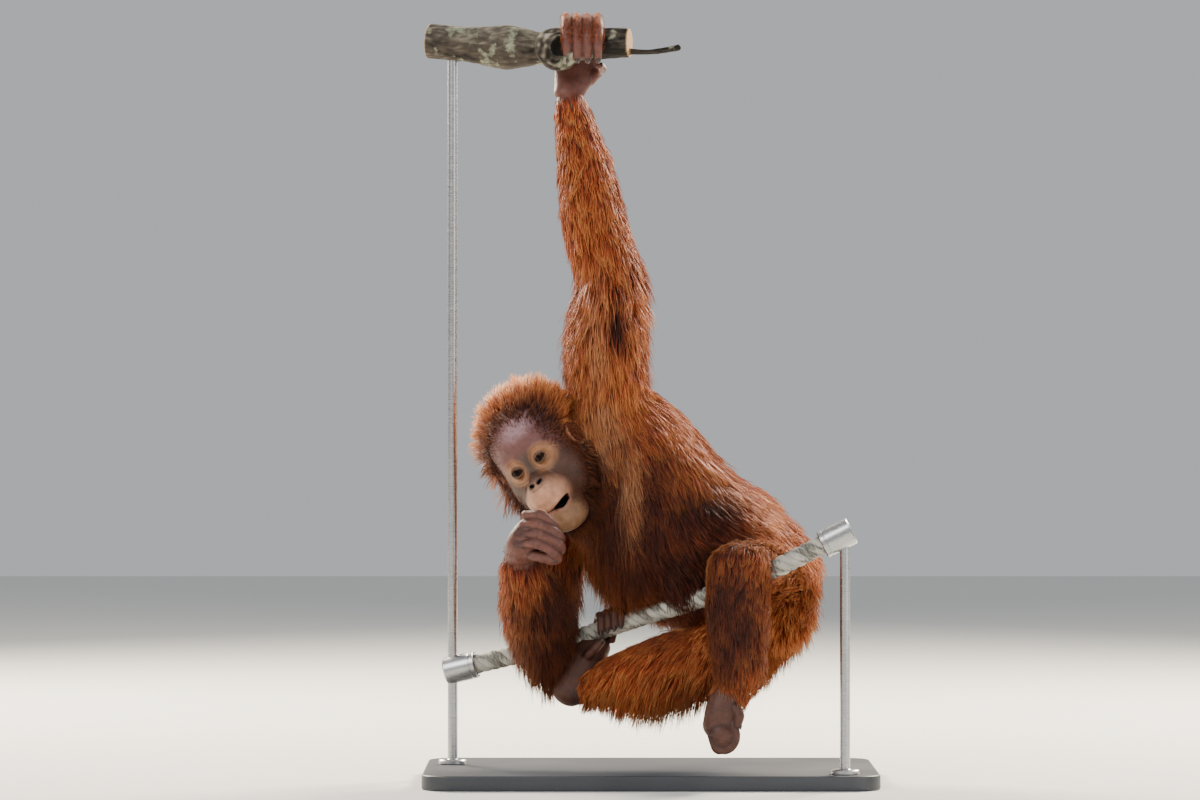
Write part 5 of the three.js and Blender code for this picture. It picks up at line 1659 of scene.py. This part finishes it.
def rope_mesh():
    """Four strands laid round one another. Each point keeps how far it lies in a groove, for painted shade,
    and its place on the yarns
    """
    steps = int(rope_run / STRAND["step"])
    at, tangent, _ = course(ROPE_LINE, steps)
    level = unit(np.cross(tangent, (0, 0, 1)))
    rise = np.cross(level, tangent)
    run = np.linspace(0, rope_run, steps)
    turn = np.linspace(0, 2 * math.pi, STRAND["sides"], endpoint=False)
    outer = np.clip(0.35 + 0.65 * np.cos(turn)[None], 0, 1)
    bm = bmesh.new()
    groove_shade, fibres = [], []
    for k in range(STRANDS):
        lay = 2 * math.pi * (k / STRANDS - run / TURN_LENGTH)
        out = np.cos(lay)[:, None] * level + np.sin(lay)[:, None] * rise
        middle = at + STRAND["off"] * out
        ahead = unit(np.gradient(middle, axis=0))
        out = unit(out - (out * ahead).sum(axis=1)[:, None] * ahead)
        over = np.cross(ahead, out)
        yarn = STRAND["yarns"] * (turn[None] + 2 * math.pi * run[:, None] / (TURN_LENGTH * 0.8))
        ridge = np.abs(np.sin(yarn / 2))
        radius = STRAND["radius"] * (1 - STRAND["ridge"] + STRAND["ridge"] * ridge * 1.6)
        round_it = np.cos(turn)[None, :, None] * out[:, None] + np.sin(turn)[None, :, None] * over[:, None]
        rows = middle[:, None] + radius[:, :, None] * round_it
        before = len(bm.verts)
        rolled("strand", rows, bm=bm)
        bm.verts.ensure_lookup_table()
        places = kdtree.KDTree(rows.shape[0] * rows.shape[1])
        for i, p in enumerate(rows.reshape(-1, 3)):
            places.insert(p, i)
        places.balance()
        cells = np.array([places.find(v.co)[1] for v in bm.verts[before:]])
        # Painted shade and highlight: darker on each strand's inner side and between the yarns, lighter on
        # the outer ridges
        groove_shade.append((0.5 * ridge + 0.5 * outer).ravel()[cells])
        own = np.full(len(cells), 3.0 * k)
        fibres.append(np.stack([run[cells // len(turn)], yarn.ravel()[cells] / 2, own], axis=1))
    mesh = finished(bm, "rope")
    write_marks(mesh, "groove", np.concatenate(groove_shade))
    write_marks(mesh, "fibre", np.concatenate(fibres))
    return mesh


place_object("rope", rope_mesh(), rope_material(), ["perch_rope"])

# %% [markdown]
# ## The stand
# A museum stand should be seen as little as it can: two thin brushed steel rods in turned collars on a
# satin plate. Each ferrule is a turned cup that grips one end of the rope. All of it is turned from profiles,
# as a lathe would, and the plate is a block with its corners and its top edge rounded.

# %% Rods and base
BASE = {"length": 540, "width": 310, "thickness": 18, "corner": 36, "bevel": 2.5}
FOOT = {"radius": 17, "height": 6}
FERRULE = {"outer": 16.5, "inner": 12.4, "back": 9, "depth": 30}
LATHE_STEPS = 48
SHARP = math.radians(32)


def turned(bm, profile, at, along):
    """Turns a profile of distances along and radii into a closed solid on an axis"""
    made = spun(bm, [(radius, height) for height, radius in profile], LATHE_STEPS)
    turn = Vector((0, 0, 1)).rotation_difference(Vector(along)).to_matrix().to_4x4()
    bmesh.ops.transform(bm, matrix=Matrix.Translation(Vector(at)) @ turn, verts=made)


def placed_sharp(name, bm, material, replaces):
    """Places a solid whose edges are sharp where its faces meet at an angle"""
    mesh = finished(bm, name)
    mesh.shade_smooth()
    mesh.set_sharp_from_angle(angle=SHARP)
    return place_object(name, mesh, material, [replaces], smooth=False)


def steel_material():
    """Brushed stainless steel: fine scratches round the rod give a soft, drawn-out gloss"""
    material, tree, shader = new_material("brushed_stainless_steel")
    brush = cloud(tree, 1.0, 3.0, stretched(tree, (120, 120, 2600)))
    set_inputs(tree, shader, {
        "Base Color": ramp(tree, brush, (0.25, "#9a9b9d"), (0.75, "#c3c4c5")),
        "Roughness": remap(tree, brush, 0.3, 0.7, 0.24, 0.42),
        "Normal": bump(tree, brush, 0.12, 0.0002),
        "Metallic": 1.0,
    })
    return material


def plinth_material():
    """Satin paint on board: a fine roller texture breaks the gloss"""
    material, tree, shader = new_material("satin_painted_plinth")
    patches = cloud(tree, 7.0, 4.0)
    set_inputs(tree, shader, {
        "Base Color": ramp(tree, patches, (0.3, "#33353a"), (0.7, "#3d4045")),
        "Roughness": remap(tree, patches, 0.3, 0.7, 0.42, 0.52),
        "Normal": bump(tree, cloud(tree, 420.0, 3.0), 0.15, 0.0003),
    })
    return material


def rod_profile(tall):
    """The foot's collar and the rod over it, as heights and radii"""
    foot, high, r = FOOT["radius"], FOOT["height"], ROD_RADIUS
    return [(0.3, 0), (0.3, foot - 0.6), (0.9, foot), (high - 1.2, foot), (high, foot - 1.2), (high, r + 1),
            (high + 0.8, r), (tall - 1, r), (tall, r - 1), (tall, 0)]


def cup_profile():
    """The ferrule: a cup with a groove round it and a rounded mouth, as heights and radii"""
    outer, inner, back, deep = FERRULE.values()
    return [(-back, 0), (-back, outer - 1.5), (1.5 - back, outer), (deep - 7, outer),
            (deep - 6.5, outer - 0.6), (deep - 5.5, outer - 0.6), (deep - 5, outer), (deep - 1, outer),
            (deep, outer - 1), (deep, inner + 0.8), (deep - 0.8, inner), (deep - 8, inner), (deep - 8, 0)]


steel = steel_material()
RODS = [("tall", ROD_TALL, rope_at[0], rope_tangent[0]), ("short", ROD_SHORT, rope_at[-1], -rope_tangent[-1])]
for name, rod, rope_end, inward in RODS:
    bm = bmesh.new()
    rest = BASE["thickness"]
    turned(bm, rod_profile(rod["top"] - rest), (rod["x"], rod["y"], rest), (0, 0, 1))
    turned(bm, cup_profile(), rope_end, inward)
    placed_sharp(f"steel_rod_{name}", bm, steel, f"stand_rod_{name}")

bm = bmesh.new()
bmesh.ops.create_cube(bm, size=1)
bmesh.ops.scale(bm, vec=(BASE["length"], BASE["width"], BASE["thickness"]), verts=bm.verts)
bmesh.ops.translate(bm, vec=(0, 0, BASE["thickness"] / 2), verts=bm.verts)
upright = [e for e in bm.edges if abs(e.verts[0].co.z - e.verts[1].co.z) > 1]
rounding = {"affect": "EDGES", "profile": 0.5, "material": -1}
bmesh.ops.bevel(bm, geom=upright, offset=BASE["corner"], segments=14, **rounding)
rims = [e for e in bm.edges if e.calc_face_angle(0) > 1.2]
bmesh.ops.bevel(bm, geom=rims, offset=BASE["bevel"], segments=4, **rounding)
placed_sharp("plinth", bm, plinth_material(), "stand_base")

# %% Floor finish
floor_finish, tree, shader = new_material("pale_studio_floor")
set_inputs(tree, shader, {"Base Color": linear("#dcdcd8"), "Roughness": 0.8})
floor.data.materials.append(floor_finish)
